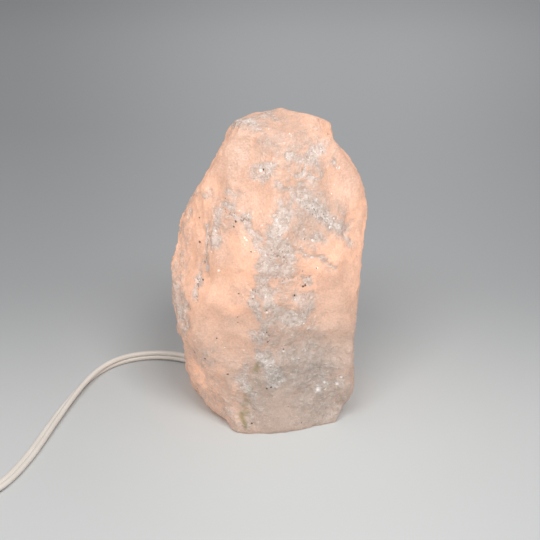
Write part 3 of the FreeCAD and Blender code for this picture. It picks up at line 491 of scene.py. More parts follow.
def stone_skin(settings, outline, turn):
    """Outer face of the stone, and its shares of fracture, stain, crack and edge: the CAD stone's outline
    with its edges eased, then moved along its normals by the swellings less the hollows. Hollows fade out
    over the lowest six rows, and the three lowest are set back, as the base is worn."""
    rows, columns, _ = outline.shape
    points = outline.copy()
    for _ in range(settings.ease):
        points[1:-1] = eased(points)[1:-1]
    # Edges stand 0.15 to 0.9 mm proud of a much smoothed copy.
    wide = points
    for _ in range(12):
        wide = eased(wide)
    normal = outward(points)
    places = points.reshape(-1, 3) / MM
    edge = smooth(0.15 * MM, 0.9 * MM, ((points - wide) * normal).sum(2)).ravel()
    flank = smooth(0.45, 0.9, np.maximum(np.abs(normal[..., 0]), normal[..., 1])).ravel()
    flank *= 1 + 0.5 * smooth(0.0, -35.0, places[:, 0])
    fracture, stain, crack = stone_marks(places)
    depth = stone_hollows(places, edge, flank, fracture, crack).reshape(rows, columns) * settings.chip_depth
    depth *= smooth(0, 6, np.arange(rows))[:, None]
    depth[-1] = depth[-1].mean()
    lift = stone_lift(places).reshape(rows, columns) * MM
    points = points + normal * (lift - depth)[..., None]
    points[-1] = points[-1].mean(0)
    flat = spokes(turn)
    points[0] = outline[0] + flat * lift[0][:, None]
    inset = settings.worn_foot * (0.6 + 0.4 * swell(places[:columns], 3.0, 59))
    points[:3] -= flat * inset[:, None] * np.array([1.0, 0.45, 0.15])[:, None, None]
    return points, np.stack([fracture, stain, crack, edge], 1).reshape(rows, columns, 4)


def stone_under(settings, turn, foot):
    """Lamp hole and base: a drilled point with a flat tip, a straight wall, then rings from the hole to the
    stone's foot, lifted to the top of the groove wherever they lie in it."""
    flat = spokes(turn)
    bore = settings.bore_radius
    half_groove = settings.groove_width / 2
    soft = 0.3 * MM
    tip = 0.3

    def ring(radius, height):
        return flat * np.reshape(radius, (-1, 1)) + UP * np.reshape(height, (-1, 1))

    def in_groove(radius):
        aside = np.abs(radius * np.sin(turn - settings.groove_turn))
        inside = smooth(half_groove + soft, half_groove - soft, aside)
        return settings.groove_height * inside * (np.cos(turn - settings.groove_turn) > 0)

    rows = [ring(bore * tip * share, settings.bore_depth) for share in (1 / 3, 2 / 3, 1)]
    rows.append(ring(bore * (tip + 1) / 2, settings.bore_depth - settings.drill_point / 2))
    lip = in_groove(bore)
    top = settings.bore_depth - settings.drill_point
    rows += [ring(bore, top + (lip - top) * t) for t in np.linspace(0, 1, 9)]
    rim = np.linalg.norm(foot[:, :2], axis=1)
    for t in np.linspace(0, 1, 14)[1:-1]:
        radius = bore + (rim - bore) * t
        rows.append(ring(radius, in_groove(radius)))
    return np.array(rows)


def stone_glow(places):
    """Share of the bulb's light at places in millimetres: full beside the bulb, fading below it, further down
    on the left where the stone is clearer, a little less at the crown and the right shoulder and a little
    more low on the flanks, with a few spots of painted light that shine brighter, some of them lighting faces
    that turn from the lamps, and milky ones that stay duller."""
    x, _, z = places.T
    edge = z + 7 * swell(places, 22.0, 61) + 3 * swell(places, 8.0, 67)
    leftward = smooth(0.0, -12.0, x + 3 * swell(places, 9.0, 63))
    share = smooth(34.0, 92.0, edge + 6 * leftward)
    share = 0.16 + 0.24 * leftward + (0.94 - 0.24 * leftward) * share
    share += 0.1 * smooth(-28.0, -38.0, x) * smooth(60.0, 85.0, z)
    share *= 1 - 0.22 * smooth(100.0, 158.0, z) * smooth(42.0, 8.0, x)
    share *= 1 - 0.15 * smooth(22.0, 40.0, x) * smooth(105.0, 125.0, z)
    share += 0.16 * smooth(24.0, 42.0, np.abs(x)) * smooth(80.0, 50.0, z)
    for middle, radius, more in PAINTED_LIGHT_SPOTS:
        apart = np.linalg.norm(places - middle, axis=1) / radius + 0.25 * swell(places, 4.0, 71)
        share += more * smooth(1.0, 0.2, apart)
    return share


# Stone: finish


def front_spots(tree, place, spots):
    """Share of small round spots on the front, each 1 in its heart and 0 at its radius, with distances seen
    along Y."""
    flat = node(tree, "ShaderNodeVectorMath", {"operation": "MULTIPLY"}, {0: place, 1: (1.0, 0.0, 1.0)})
    total = 0.0
    for x, z, radius in spots:
        apart = node(
            tree, "ShaderNodeVectorMath", {"operation": "DISTANCE"}, {0: flat.outputs[0], 1: (x, 0.0, z)}
        )
        near = node(
            tree,
            "ShaderNodeMapRange",
            {"interpolation_type": "SMOOTHSTEP"},
            {0: apart.outputs["Value"], 1: radius / 3, 2: radius, 3: 1.0, 4: 0.0},
        )
        both = node(tree, "ShaderNodeMath", {"operation": "MAXIMUM"}, {0: near.outputs[0], 1: total})
        total = both.outputs[0]
    depth = node(tree, "ShaderNodeSeparateXYZ", inputs={0: place})
    front = node(
        tree, "ShaderNodeMapRange", inputs={0: depth.outputs["Y"], 1: -5.0, 2: -10.0, 3: 0.0, 4: 1.0}
    )
    kept = node(tree, "ShaderNodeMath", {"operation": "MULTIPLY"}, {0: total, 1: front.outputs[0]})
    return kept.outputs[0]


def loose_spots(tree, place, size, radius, left_out):
    """Share of round spots of a radius about scattered points, one to a cell of a size, both in millimetres,
    with a share of them left out."""
    cells = node(tree, "ShaderNodeTexVoronoi", inputs={"Vector": place, "Scale": 1 / size})
    near = node(
        tree,
        "ShaderNodeMapRange",
        {"interpolation_type": "SMOOTHSTEP"},
        {0: cells.outputs["Distance"], 1: radius / size / 3, 2: radius / size, 3: 1.0, 4: 0.0},
    )
    draw = node(tree, "ShaderNodeSeparateColor", inputs={0: cells.outputs["Color"]})
    drawn = node(tree, "ShaderNodeMath", {"operation": "GREATER_THAN"}, {0: draw.outputs[0], 1: left_out})
    kept = node(tree, "ShaderNodeMath", {"operation": "MULTIPLY"}, {0: near.outputs[0], 1: drawn.outputs[0]})
    return kept.outputs[0]


def bent_place(tree, place, size, detail, reach):
    """Coordinates pushed about by noise of a size, by up to a reach, both in millimetres."""
    noise = node(tree, "ShaderNodeTexNoise", inputs={"Vector": place, "Scale": 1 / size, "Detail": detail})
    bent = node(
        tree,
        "ShaderNodeVectorMath",
        {"operation": "MULTIPLY_ADD"},
        {0: noise.outputs["Color"], 1: (reach, reach, reach), 2: place},
    )
    return bent.outputs[0]


def quartz_finish(settings):
    """Natural quartz, cleaved and lit from inside: clear stone carries the bulb's warm light to the surface,
    milky fractures scatter studio light grey-white with bright grains that are partly painted glints, small
    chips carry painted glints and pits painted shade, and the foot below the bulb stays dim."""
    finish, tree, shader, place = new_finish("natural_quartz_painted_light")
    marks = node(tree, "ShaderNodeAttribute", {"attribute_name": "marks"})
    parts = node(tree, "ShaderNodeSeparateColor", inputs={0: marks.outputs["Color"]})
    fracture, stain, crack = parts.outputs
    edge = marks.outputs["Alpha"]
    lit = node(tree, "ShaderNodeAttribute", {"attribute_name": "glow"}).outputs["Fac"]
    # Clouds of 14 mm in clear stone; patches of 4 mm, wisps of 2.4 mm, flecks and dark grains of fractures.
    noises = []
    for size, detail, roughness, bend in (
        (14.0, 5.0, 0.6, 0.0),
        (4.0, 5.0, 0.66, 0.5),
        (2.4, 5.0, 0.72, 0.6),
        (1.5, 4.0, 0.6, 1.0),
        (0.9, 2.0, 0.5, 0.0),
    ):
        made = node(
            tree,
            "ShaderNodeTexNoise",
            inputs={
                "Vector": place,
                "Scale": 1 / size,
                "Detail": detail,
                "Roughness": roughness,
                "Distortion": bend,
            },
        )
        noises.append(made.outputs["Fac"])
    cloud, patch, wisp, fleck, speck = noises
    # Grains gather along cracks.
    made = node(tree, "ShaderNodeMath", {"operation": "MULTIPLY_ADD"}, {0: crack, 1: 0.2, 2: speck})
    speck = made.outputs[0]
    # Each mark shows where its noise rises over a level that falls as the fracture's share grows.
    shares = []
    for noise, lift, low, high in (
        (patch, 0.65, 0.52, 1.06),
        (wisp, 0.10, 0.38, 0.76),
        (fleck, 0.12, 0.63, 0.82),
        (speck, 0.10, 0.70, 0.86),
    ):
        made = node(
            tree, "ShaderNodeMath", {"operation": "MULTIPLY_ADD"}, {0: fracture, 1: lift, 2: noise}
        )
        made = node(
            tree,
            "ShaderNodeMapRange",
            {"interpolation_type": "SMOOTHSTEP"},
            {0: made.outputs[0], 1: low, 2: high},
        )
        shares.append(made.outputs[0])
    milky, wispy, bright, dark = shares
    # Small chips with painted glints and pits with painted shade, with ragged edges: those of the front, and
    # loose ones all round.
    ragged = bent_place(tree, place, 0.8, 1.0, 0.9)
    spots = []
    for listed, size, radius, left_out in ((PAINTED_GLINTS, 5.0, 0.5, 0.86), (PAINTED_SHADE_PITS, 6.0, 0.5, 0.7)):
        made = node(
            tree,
            "ShaderNodeMath",
            {"operation": "MAXIMUM"},
            {0: front_spots(tree, ragged, listed), 1: loose_spots(tree, ragged, size, radius, left_out)},
        )
        spots.append(made.outputs[0])
    spark, pit_painted_shade = spots
    tones = []
    for share, low, high in (
        (cloud, settings.clear_dark, settings.clear_pale),
        (wispy, settings.fracture_grey, settings.fracture_pale),
    ):
        made = node(tree, "ShaderNodeMix", {"data_type": "RGBA"}, {0: share, 6: (*low, 1), 7: (*high, 1)})
        tones.append(made.outputs[2])
    colour, milk = tones
    # Where the bulb shines through, less of the studio's light comes back. Clear stone has a fine grain.
    deep = node(tree, "ShaderNodeMapRange", inputs={0: lit, 1: 0.25, 2: 0.9, 3: 1.0, 4: 0.76})
    grain = node(tree, "ShaderNodeMapRange", inputs={0: speck, 1: 0.3, 2: 0.7, 3: 0.9, 4: 1.1})
    grain = grain.outputs[0]
    deep = node(tree, "ShaderNodeMath", {"operation": "MULTIPLY"}, {0: deep.outputs[0], 1: grain})
    made = node(tree, "ShaderNodeVectorMath", {"operation": "SCALE"}, {0: colour, "Scale": deep.outputs[0]})
    colour = made.outputs[0]
    # The bright grains are white grains and painted glints at once, the chips are painted glints of white,
    # and the pits are painted shade.
    for share, tone in (
        (milky, milk),
        (bright, (*settings.fracture_white_and_glints, 1)),
        (dark, (*settings.fracture_dark, 1)),
        (stain, (*settings.stain, 1)),
        (spark, (*settings.fracture_white_and_glints, 1)),
        (pit_painted_shade, (*settings.pit_painted_shade, 1)),
    ):
        made = node(tree, "ShaderNodeMix", {"data_type": "RGBA"}, {0: share, 6: colour, 7: tone})
        colour = made.outputs[2]
    tree.links.new(colour, shader.inputs["Base Color"])
    # Flaws part the stone into blocks of about 12 mm, each a little brighter or darker than the next.
    blocks = node(
        tree,
        "ShaderNodeTexVoronoi",
        inputs={"Vector": bent_place(tree, place, 5.0, 3.0, 8.0), "Scale": 1 / 12.0},
    )
    block = node(tree, "ShaderNodeSeparateColor", inputs={0: blocks.outputs["Color"]})
    block = node(tree, "ShaderNodeMapRange", inputs={0: block.outputs[0], 3: 0.86, 4: 1.14})
    depths = node(tree, "ShaderNodeMapRange", inputs={0: cloud, 1: 0.3, 2: 0.75, 3: 0.82, 4: 1.14})
    # Light that reaches the surface, held back by fractures, grains, chipped edges, stain and pits.
    factors = [depths.outputs[0], grain, block.outputs[0]]
    for share, hold in ((milky, 0.66), (bright, 0.3), (dark, 0.5), (edge, 0.25), (stain, 0.5), (pit_painted_shade, 0.9)):
        made = node(tree, "ShaderNodeMath", {"operation": "MULTIPLY_ADD"}, {0: share, 1: -hold, 2: 1.0})
        factors.append(made.outputs[0])
    shown = lit
    for factor in factors:
        shown = node(tree, "ShaderNodeMath", {"operation": "MULTIPLY"}, {0: shown, 1: factor}).outputs[0]
    warm = node(
        tree, "ShaderNodeVectorMath", {"operation": "SCALE"}, {0: settings.glow_colour, "Scale": shown}
    )
    tree.links.new(warm.outputs[0], shader.inputs["Emission Color"])
    shader.inputs["Emission Strength"].default_value = 1.0
    rough = node(tree, "ShaderNodeMapRange", inputs={0: milky, 1: 0.0, 2: 1.0, 3: 0.32, 4: 0.42})
    tree.links.new(rough.outputs[0], shader.inputs["Roughness"])
    shader.inputs["IOR"].default_value = 1.54
    # Relief too fine for the mesh: wisps in fractures over faint ripples everywhere, and the chips' hollows.
    relief = node(tree, "ShaderNodeMath", {"operation": "MULTIPLY"}, {0: wisp, 1: milky}).outputs[0]
    for height, share in ((patch, 0.5), (speck, 0.35), (spark, -0.5)):
        made = node(
            tree, "ShaderNodeMath", {"operation": "MULTIPLY_ADD"}, {0: height, 1: share, 2: relief}
        )
        relief = made.outputs[0]
    bump = node(tree, "ShaderNodeBump", inputs={"Height": relief, "Strength": 0.85, "Distance": 0.0011})
    tree.links.new(bump.outputs[0], shader.inputs["Normal"])
    return finish


class StoneSettings(bpy.types.PropertyGroup):
    """Sizes and colours of the stone."""

    columns: bpy.props.IntProperty(name="Columns", description="Points round the stone", default=400, min=48)
    rows: bpy.props.IntProperty(name="Rows", description="Steps from base to crown", default=212, min=24)
    ease: bpy.props.IntProperty(name="Easing", description="Passes that ease the edges", default=2, min=0)
    heart: bpy.props.FloatProperty(
        name="Heart", description="Height of the stone's heart", default=0.07, unit="LENGTH"
    )
    bore_radius: bpy.props.FloatProperty(
        name="Lamp hole radius", description="Radius of the drilled hole", default=0.0185, unit="LENGTH"
    )
    bore_depth: bpy.props.FloatProperty(
        name="Lamp hole depth", description="Depth of the drilled hole", default=0.092, unit="LENGTH"
    )
    drill_point: bpy.props.FloatProperty(
        name="Drill point", description="Height of the hole's cone", default=0.005, unit="LENGTH"
    )
    groove_width: bpy.props.FloatProperty(
        name="Groove width", description="Width of the lead's groove", default=0.012, unit="LENGTH"
    )
    groove_height: bpy.props.FloatProperty(
        name="Groove height", description="Height of the lead's groove", default=0.0105, unit="LENGTH"
    )
    groove_turn: bpy.props.FloatProperty(
        name="Groove turn", description="Direction of the groove", default=math.radians(148), unit="ROTATION"
    )
    worn_foot: bpy.props.FloatProperty(
        name="Worn foot", description="Set-back of the base below the flanks", default=0.0014, unit="LENGTH"
    )
    chip_depth: bpy.props.FloatProperty(
        name="Chip depth", description="Depth of a chip of full share", default=0.001, unit="LENGTH"
    )
    clear_dark: bpy.props.FloatVectorProperty(
        name="Clear stone, dark", description="Darker clouds", default=linear("A6958A"), subtype="COLOR"
    )
    clear_pale: bpy.props.FloatVectorProperty(
        name="Clear stone, pale", description="Paler clouds", default=linear("C3B3A8"), subtype="COLOR"
    )
    fracture_grey: bpy.props.FloatVectorProperty(
        name="Fracture grey", description="Shaded grains", default=linear("A4988F"), subtype="COLOR"
    )
    fracture_pale: bpy.props.FloatVectorProperty(
        name="Fracture pale", description="Pale wisps", default=linear("DAD0C9"), subtype="COLOR"
    )
    # White of milky grains, also the colour of the painted glints on grains and chips.
    fracture_white_and_glints: bpy.props.FloatVectorProperty(
        name="Fracture white", description="Bright grains", default=linear("F4F0EC"), subtype="COLOR"
    )
    fracture_dark: bpy.props.FloatVectorProperty(
        name="Fracture dark", description="Dark grains", default=linear("8E8078"), subtype="COLOR"
    )
    stain: bpy.props.FloatVectorProperty(
        name="Stain", description="Mineral stain at the foot", default=linear("988D6C"), subtype="COLOR"
    )
    # Painted shade of the pits.
    pit_painted_shade: bpy.props.FloatVectorProperty(
        name="Pit", description="Dark pits", default=linear("3A2A22"), subtype="COLOR"
    )
    glow_colour: bpy.props.FloatVectorProperty(
        name="Glow", description="Bulb's light through the stone", default=linear("CB9271"), subtype="COLOR"
    )


class LAMP_OT_stone(bpy.types.Operator):
    """Makes the rough lit stone over the CAD stone"""

    bl_idname = "quartz_lamp.stone"
    bl_label = "Stone"

    def execute(self, context):
        settings = context.scene.quartz_stone
        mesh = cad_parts["quartz_body"].data
        mesh.calc_loop_triangles()
        spots = np.empty(len(mesh.vertices) * 3)
        mesh.vertices.foreach_get("co", spots)
        corner = np.empty(len(mesh.loop_triangles) * 3, int)
        mesh.loop_triangles.foreach_get("vertices", corner)
        outline, turn = stone_outline(settings, spots.reshape(-1, 3)[corner].reshape(-1, 3, 3))
        skin, marks = stone_skin(settings, outline, turn)
        under = stone_under(settings, turn, skin[0])
        # One grid from the top of the lamp hole, down its wall, out over the base and up to the crown.
        grid = np.concatenate([under, skin[:-1]])
        poles = np.array([UP * settings.bore_depth, skin[-1, 0]])
        low, high = (np.array(v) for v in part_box("quartz_body"))
        points = np.clip(np.concatenate([grid.reshape(-1, 3), poles]), low, high)
        rows, columns, _ = grid.shape
        hole_pole = rows * columns
        here = np.arange(columns)
        beside = (here + 1) % columns
        top = (rows - 1) * columns
        hole_cap = np.stack([here, beside, np.full(columns, hole_pole)], 1)
        crown_cap = np.stack([top + beside, top + here, np.full(columns, hole_pole + 1)], 1)
        stone = new_piece(
            "quartz_stone",
            points,
            grid_faces(rows, columns)[:, ::-1],
            np.concatenate([hole_cap, crown_cap]),
            quartz_finish(settings),
            "stone",
        )
        # The lamp hole and the base have no marks, and the hole's wall shines beside the bulb.
        inside = len(under) * columns
        shown = np.zeros((len(points), 4))
        shown[inside:-2] = marks[:-1].reshape(-1, 4)
        shown[-1] = marks[-1, 0]
        wall = np.linalg.norm(points[:, :2], axis=1) < settings.bore_radius + 0.2 * MM
        wall[inside:-2] = False
        wall[-1] = False
        glow = np.where(wall, 1.3 * smooth(10.0, 45.0, points[:, 2] / MM), stone_glow(points / MM))
        colour = stone.data.color_attributes.new("marks", "FLOAT_COLOR", "POINT")
        colour.data.foreach_set("color", shown.astype(np.float32).ravel())
        light = stone.data.attributes.new("glow", "FLOAT", "POINT")
        light.data.foreach_set("value", glow.astype(np.float32))
        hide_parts("quartz_body")
        return {"FINISHED"}


# Lead

# The lead's route in millimetres, from its strain relief behind the stone to the switch.
RUN_POINTS = [
    (-31.378, 19.607, 4.4),
    (-45.795, 28.616, 4.4),
    (-60.5, 34.0, 3.2),
    (-74.5, 33.0, 2.8),
    (-87.0, 26.0, 2.8),
    (-96.5, 12.0, 2.7),
    (-103.0, -8.0, 2.4),
    (-109.0, -34.0, 1.9),
    (-114.0, -62.0, 1.7),
    (-121.0, -84.0, 1.7),
    (-129.8, -96.1, 3.2),
    (-143.2, -102.9, 5.6),
    (-158.2, -102.9, 5.6),
]
# Where the lead leaves the switch, and the coil: its middle, the radius of its outer and inner half turns,
# how far each lies inside the next, and the heights of its lower and upper layer, all in millimetres.
SWITCH_OUT = (-204.2, -102.9, 5.6)
COIL_MIDDLE = (-221.3, -50.7)
COIL_OUTER = 40.5
COIL_INNER = 25.1
COIL_PITCH = 2.2
COIL_LOW = 3.2
COIL_HIGH = 9.1


def coil_points():
    """Points of the coil in millimetres: a quarter turn in from the switch, seven half turns inwards on the
    floor, a half turn that climbs, six outwards on top, and a straight end at the plug. Each half turn is a
    half circle between the joints on the coil's west and east sides, a little larger, because the spline
    runs inside its points."""
    steps = 12
    over = 1 / math.cos(math.pi / (2 * steps))
    start_x, start_y, start_z = SWITCH_OUT
    middle_x, middle_y = COIL_MIDDLE
    straight = 5.4
    quarter = middle_y - start_y
    points = [(start_x, start_y, start_z), (start_x - straight, start_y, start_z)]
    for step in range(1, 7):
        turn = step * math.pi / 14
        x = start_x - straight - quarter * math.sin(turn)
        height = start_z + (COIL_LOW - start_z) * float(smooth(0, 6, step))
        points.append((x, middle_y - quarter * math.cos(turn), height))
    joints = [(COIL_OUTER - COIL_PITCH * k, COIL_LOW) for k in range(8)]
    joints += [(COIL_INNER + COIL_PITCH * k, COIL_HIGH) for k in range(7)]
    for k, (here, there) in enumerate(zip(joints, joints[1:])):
        side = -1 if k % 2 == 0 else 1
        x = middle_x + side * (here[0] - there[0]) / 2
        radius = (here[0] + there[0]) / 2 * over
        for step in range(steps):
            turn = step * math.pi / steps
            height = here[1] + (there[1] - here[1]) * float(smooth(0, steps, step))
            aside = side * radius
            points.append((x + aside * math.cos(turn), middle_y - aside * math.sin(turn), height))
    end_x = middle_x - joints[-1][0]
    return points + [(end_x, middle_y + y, COIL_HIGH) for y in (0.0, 9.0, 18.0, 25.0)]


def spline_line(points, resolution):
    """Points in metres along the smooth spline that has the route's points as its control points."""
    curve = bpy.data.curves.new("route", "CURVE")
    curve.dimensions = "3D"
    spline = curve.splines.new("NURBS")
    spline.points.add(len(points) - 1)
    route = np.column_stack([np.array(points) * MM, np.ones(len(points))])
    spline.points.foreach_set("co", route.ravel())
    spline.order_u = 3
    spline.use_endpoint_u = True
    spline.resolution_u = resolution
    guide = bpy.data.objects.new("route", curve)
    mesh = bpy.data.meshes.new_from_object(guide)
    line = np.empty(len(mesh.vertices) * 3)
    mesh.vertices.foreach_get("co", line)
    bpy.data.meshes.remove(mesh)
    bpy.data.objects.remove(guide)
    bpy.data.curves.remove(curve)
    return line.reshape(-1, 3)


def twin_lead(name, settings, line, roll, finish):
    """Two strands moulded side by side, carried along a line. Round the section the radius is the far edge
    of two circles whose centres lie either side of its middle. The strands stand one above the other where
    roll is 0, and lie side by side where it is a quarter turn."""
    around = 28
    along = np.gradient(line, axis=0)
    along /= np.linalg.norm(along, axis=1, keepdims=True)
    aside = np.cross(along, UP)
    aside /= np.linalg.norm(aside, axis=1, keepdims=True)
    above = np.cross(aside, along)
    pair = np.cos(roll)[:, None] * above - np.sin(roll)[:, None] * aside
    thin = np.sin(roll)[:, None] * above + np.cos(roll)[:, None] * aside
    turn = np.arange(around) * 2 * math.pi / around
    offset = settings.strand_offset
    radius = np.sqrt(settings.strand_radius**2 - (offset * np.cos(turn)) ** 2)
    radius += offset * np.abs(np.sin(turn))
    points = (
        line[:, None]
        + thin[:, None] * (radius * np.cos(turn))[None, :, None]
        + pair[:, None] * (radius * np.sin(turn))[None, :, None]
    )
    rows = len(line)
    ends = np.stack([np.arange(around)[::-1], (rows - 1) * around + np.arange(around)])
    quads = grid_faces(rows, around)
    return new_piece(name, points.reshape(-1, 3), quads, ends, finish, "lamp_unit")


def lead_finish(settings):
    """Soft white PVC, extruded: warm white and satin, with hand-worn patches of 9 mm. Its fine skin is drawn
    at 0.8 mm so that it shows."""
    finish, tree, shader, place = new_finish("white_pvc_lead")
    wear = mottle(tree, shader, place, 9, 4.0, settings.shaded, settings.colour)
    skin = node(tree, "ShaderNodeTexNoise", inputs={"Vector": place, "Scale": 1 / 0.8, "Detail": 2.0})
    sheen_and_grain(tree, shader, wear, 0.38, 0.5, skin.outputs["Fac"], 0.15, 0.0002)
    return finish


class LeadSettings(bpy.types.PropertyGroup):
    """Sizes and colours of the lead."""

    strand_radius: bpy.props.FloatProperty(
        name="Strand radius", description="Radius of one strand", default=0.0014, unit="LENGTH", precision=5
    )
    strand_offset: bpy.props.FloatProperty(
        name="Strand offset",
        description="Strand's middle from the lead's",
        default=0.0013,
        unit="LENGTH",
        precision=5,
    )
    colour: bpy.props.FloatVectorProperty(
        name="Colour", description="White PVC", default=linear("E6E0D8"), subtype="COLOR"
    )
    shaded: bpy.props.FloatVectorProperty(
        name="Worn colour", description="Handled PVC", default=linear("D8D0C6"), subtype="COLOR"
    )


class LAMP_OT_lead(bpy.types.Operator):
    """Makes the lead's free stretch and its put-away coil"""

    bl_idname = "quartz_lamp.lead"
    bl_label = "Lead"

    def execute(self, context):
        settings = context.scene.quartz_lead
        finish = lead_finish(settings)
        line = spline_line(RUN_POINTS, 14)
        # The strands leave the holder one above the other and roll over to lie flat on the floor.
        roll = math.pi / 2 * smooth(0.22, 0.72, np.linspace(0, 1, len(line)))
        run = twin_lead("lead_run", settings, line, roll, finish)
        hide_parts("cord_run")
        line = spline_line(coil_points(), 5)
        # They leave the switch lying flat and stand on edge round the coil.
        roll = math.pi / 2 * smooth(0.05, 0.0, np.linspace(0, 1, len(line)))
        coil = twin_lead("lead_coil", settings, line, roll, finish)
        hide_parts("cord_coil")
        dress(finish, "strain_relief", "plug_relief", "plug_body")
        return {"FINISHED"}


# Holder, bulb and switch


def moulded_finish(name, colour, roughness):
    """Moulded plastic: even colour with faint flow clouds of 12 mm. The mould's spark-eroded grain is drawn
    at 0.6 mm so that it shows."""
    finish, tree, shader, place = new_finish(name)
    cloud = mottle(tree, shader, place, 12, 3.0, tuple(0.88 * c for c in colour), colour)
    grain = node(tree, "ShaderNodeTexNoise", inputs={"Vector": place, "Scale": 1 / 0.6, "Detail": 2.0})
    sheen_and_grain(
        tree, shader, cloud, roughness - 0.05, roughness + 0.07, grain.outputs["Fac"], 0.12, 0.0001
    )
    return finish


def metal_finish(name, bright, tarnished, roughness, stretch):
    """Pressed or rolled metal: drawn lines about 0.4 mm apart along one axis, and patches of tarnish 6 mm
    wide."""
    finish, tree, shader, place = new_finish(name)
    shader.inputs["Metallic"].default_value = 1.0
    mottle(tree, shader, place, 6, 4.0, tarnished, bright)
    drawn = node(tree, "ShaderNodeMapping", inputs={"Vector": place, "Scale": stretch})
    lines = node(
        tree, "ShaderNodeTexNoise", inputs={"Vector": drawn.outputs[0], "Scale": 1 / 0.4, "Detail": 2.0}
    )
    lines = lines.outputs["Fac"]
    sheen_and_grain(tree, shader, lines, roughness - 0.08, roughness + 0.12, lines, 0.1, 0.00005)
    return finish


def bulb_glass_finish(settings):
    """Clear soda glass, blown, lit by the filament: see-through, with a warm haze that is stronger at its
    middle."""
    finish, tree, shader, place = new_finish("lit_bulb_glass")
    shader.inputs["Base Color"].default_value = (*settings.glass, 1)
    shader.inputs["Transmission Weight"].default_value = 1.0
    shader.inputs["IOR"].default_value = 1.5
    shader.inputs["Roughness"].default_value = 0.05
    apart = node(tree, "ShaderNodeSeparateXYZ", inputs={0: place})
    height = node(
        tree,
        "ShaderNodeMapRange",
        {"interpolation_type": "SMOOTHSTEP"},
        {0: apart.outputs["Z"], 1: 42.0, 2: 62.0, 3: 0.08, 4: 0.6},
    )
    haze = node(
        tree,
        "ShaderNodeVectorMath",
        {"operation": "SCALE"},
        {0: settings.light, "Scale": height.outputs[0]},
    )
    tree.links.new(haze.outputs[0], shader.inputs["Emission Color"])
    shader.inputs["Emission Strength"].default_value = 1.0
    return finish


def filament_finish(settings):
    """Tungsten wire at working heat: bright orange-white, in slanting bands of more and less heat."""
    finish, tree, shader, place = new_finish("hot_tungsten")
    shader.inputs["Base Color"].default_value = (*linear("959089"), 1)
    shader.inputs["Metallic"].default_value = 1.0
    shader.inputs["Roughness"].default_value = 0.5
    bands = node(
        tree, "ShaderNodeTexWave", {"bands_direction": "DIAGONAL"}, {"Vector": place, "Scale": 0.9}
    )
    heat = node(tree, "ShaderNodeMapRange", inputs={0: bands.outputs["Fac"], 3: 0.7, 4: 1.0})
    light = node(
        tree, "ShaderNodeVectorMath", {"operation": "SCALE"}, {0: settings.light, "Scale": heat.outputs[0]}
    )
    tree.links.new(light.outputs[0], shader.inputs["Emission Color"])
    shader.inputs["Emission Strength"].default_value = 6.0
    return finish


class FittingSettings(bpy.types.PropertyGroup):
    """Colours of the holder, bulb, switch and plug."""

    holder: bpy.props.FloatVectorProperty(
        name="Holder", description="Moulded holder", default=linear("E4E0D6"), subtype="COLOR"
    )
    switch: bpy.props.FloatVectorProperty(
        name="Switch", description="Switch shells", default=linear("E9E6E0"), subtype="COLOR"
    )
    rocker: bpy.props.FloatVectorProperty(
        name="Rocker", description="Switch rocker", default=linear("D2CFC8"), subtype="COLOR"
    )
    tie: bpy.props.FloatVectorProperty(
        name="Tie", description="Lead tie", default=linear("2A2A2C"), subtype="COLOR"
    )
    brass: bpy.props.FloatVectorProperty(
        name="Brass", description="Contacts and caps", default=linear("D9B56A"), subtype="COLOR"
    )
    steel: bpy.props.FloatVectorProperty(
        name="Steel", description="Clips, rivets and screws", default=linear("B9BABD"), subtype="COLOR"
    )
    copper: bpy.props.FloatVectorProperty(
        name="Copper", description="Lead ends", default=linear("C8784E"), subtype="COLOR"
    )
    glass: bpy.props.FloatVectorProperty(
        name="Glass", description="Bulb glass", default=linear("FFF9F1"), subtype="COLOR"
    )
    light: bpy.props.FloatVectorProperty(
        name="Bulb light", description="Light of the filament", default=linear("FFC681"), subtype="COLOR"
    )


class LAMP_OT_holder(bpy.types.Operator):
    """Finishes the lamp holder with its clips, and all contacts, screws and blades of the same metals"""

    bl_idname = "quartz_lamp.holder"
    bl_label = "Holder"

    def execute(self, context):
        settings = context.scene.quartz_fittings
        brass = metal_finish("pressed_brass", settings.brass, linear("A5803F"), 0.28, (1.0, 1.0, 0.15))
        steel = metal_finish("spring_steel", settings.steel, linear("8D8E92"), 0.3, (0.15, 1.0, 1.0))
        copper = metal_finish("stranded_copper", settings.copper, linear("9A5636"), 0.35, (1.0, 1.0, 1.0))
        dress(moulded_finish("holder_urea", settings.holder, 0.42), "holder_cap", "holder_body")
        dress(brass, "screw_shell", "centre_contact", "terminal_screw_1", "terminal_screw_2", "bulb_cap")
        dress(brass, "switch_contact_1", "switch_contact_2", "plug_blade_1", "plug_blade_2")
        dress(steel, "spring_clip_1", "spring_clip_2", "clip_rivet_1", "clip_rivet_2")
        dress(steel, "switch_screw_1", "switch_screw_2", "bulb_support_1", "bulb_support_2")
        dress(copper, "lead_end_1", "lead_end_2")
        return {"FINISHED"}


class LAMP_OT_bulb(bpy.types.Operator):
    """Finishes the lit bulb"""

    bl_idname = "quartz_lamp.bulb"
    bl_label = "Bulb"

    def execute(self, context):
        settings = context.scene.quartz_fittings
        solder = metal_finish("dull_solder", linear("9B9C9E"), linear("77787A"), 0.45, (1.0, 1.0, 1.0))
        dress(bulb_glass_finish(settings), "bulb_glass", "bulb_stem")
        dress(filament_finish(settings), "bulb_filament")
        dress(moulded_finish("black_vitrite", linear("17171A"), 0.15), "bulb_insulator")
        dress(solder, "bulb_tip")
        return {"FINISHED"}


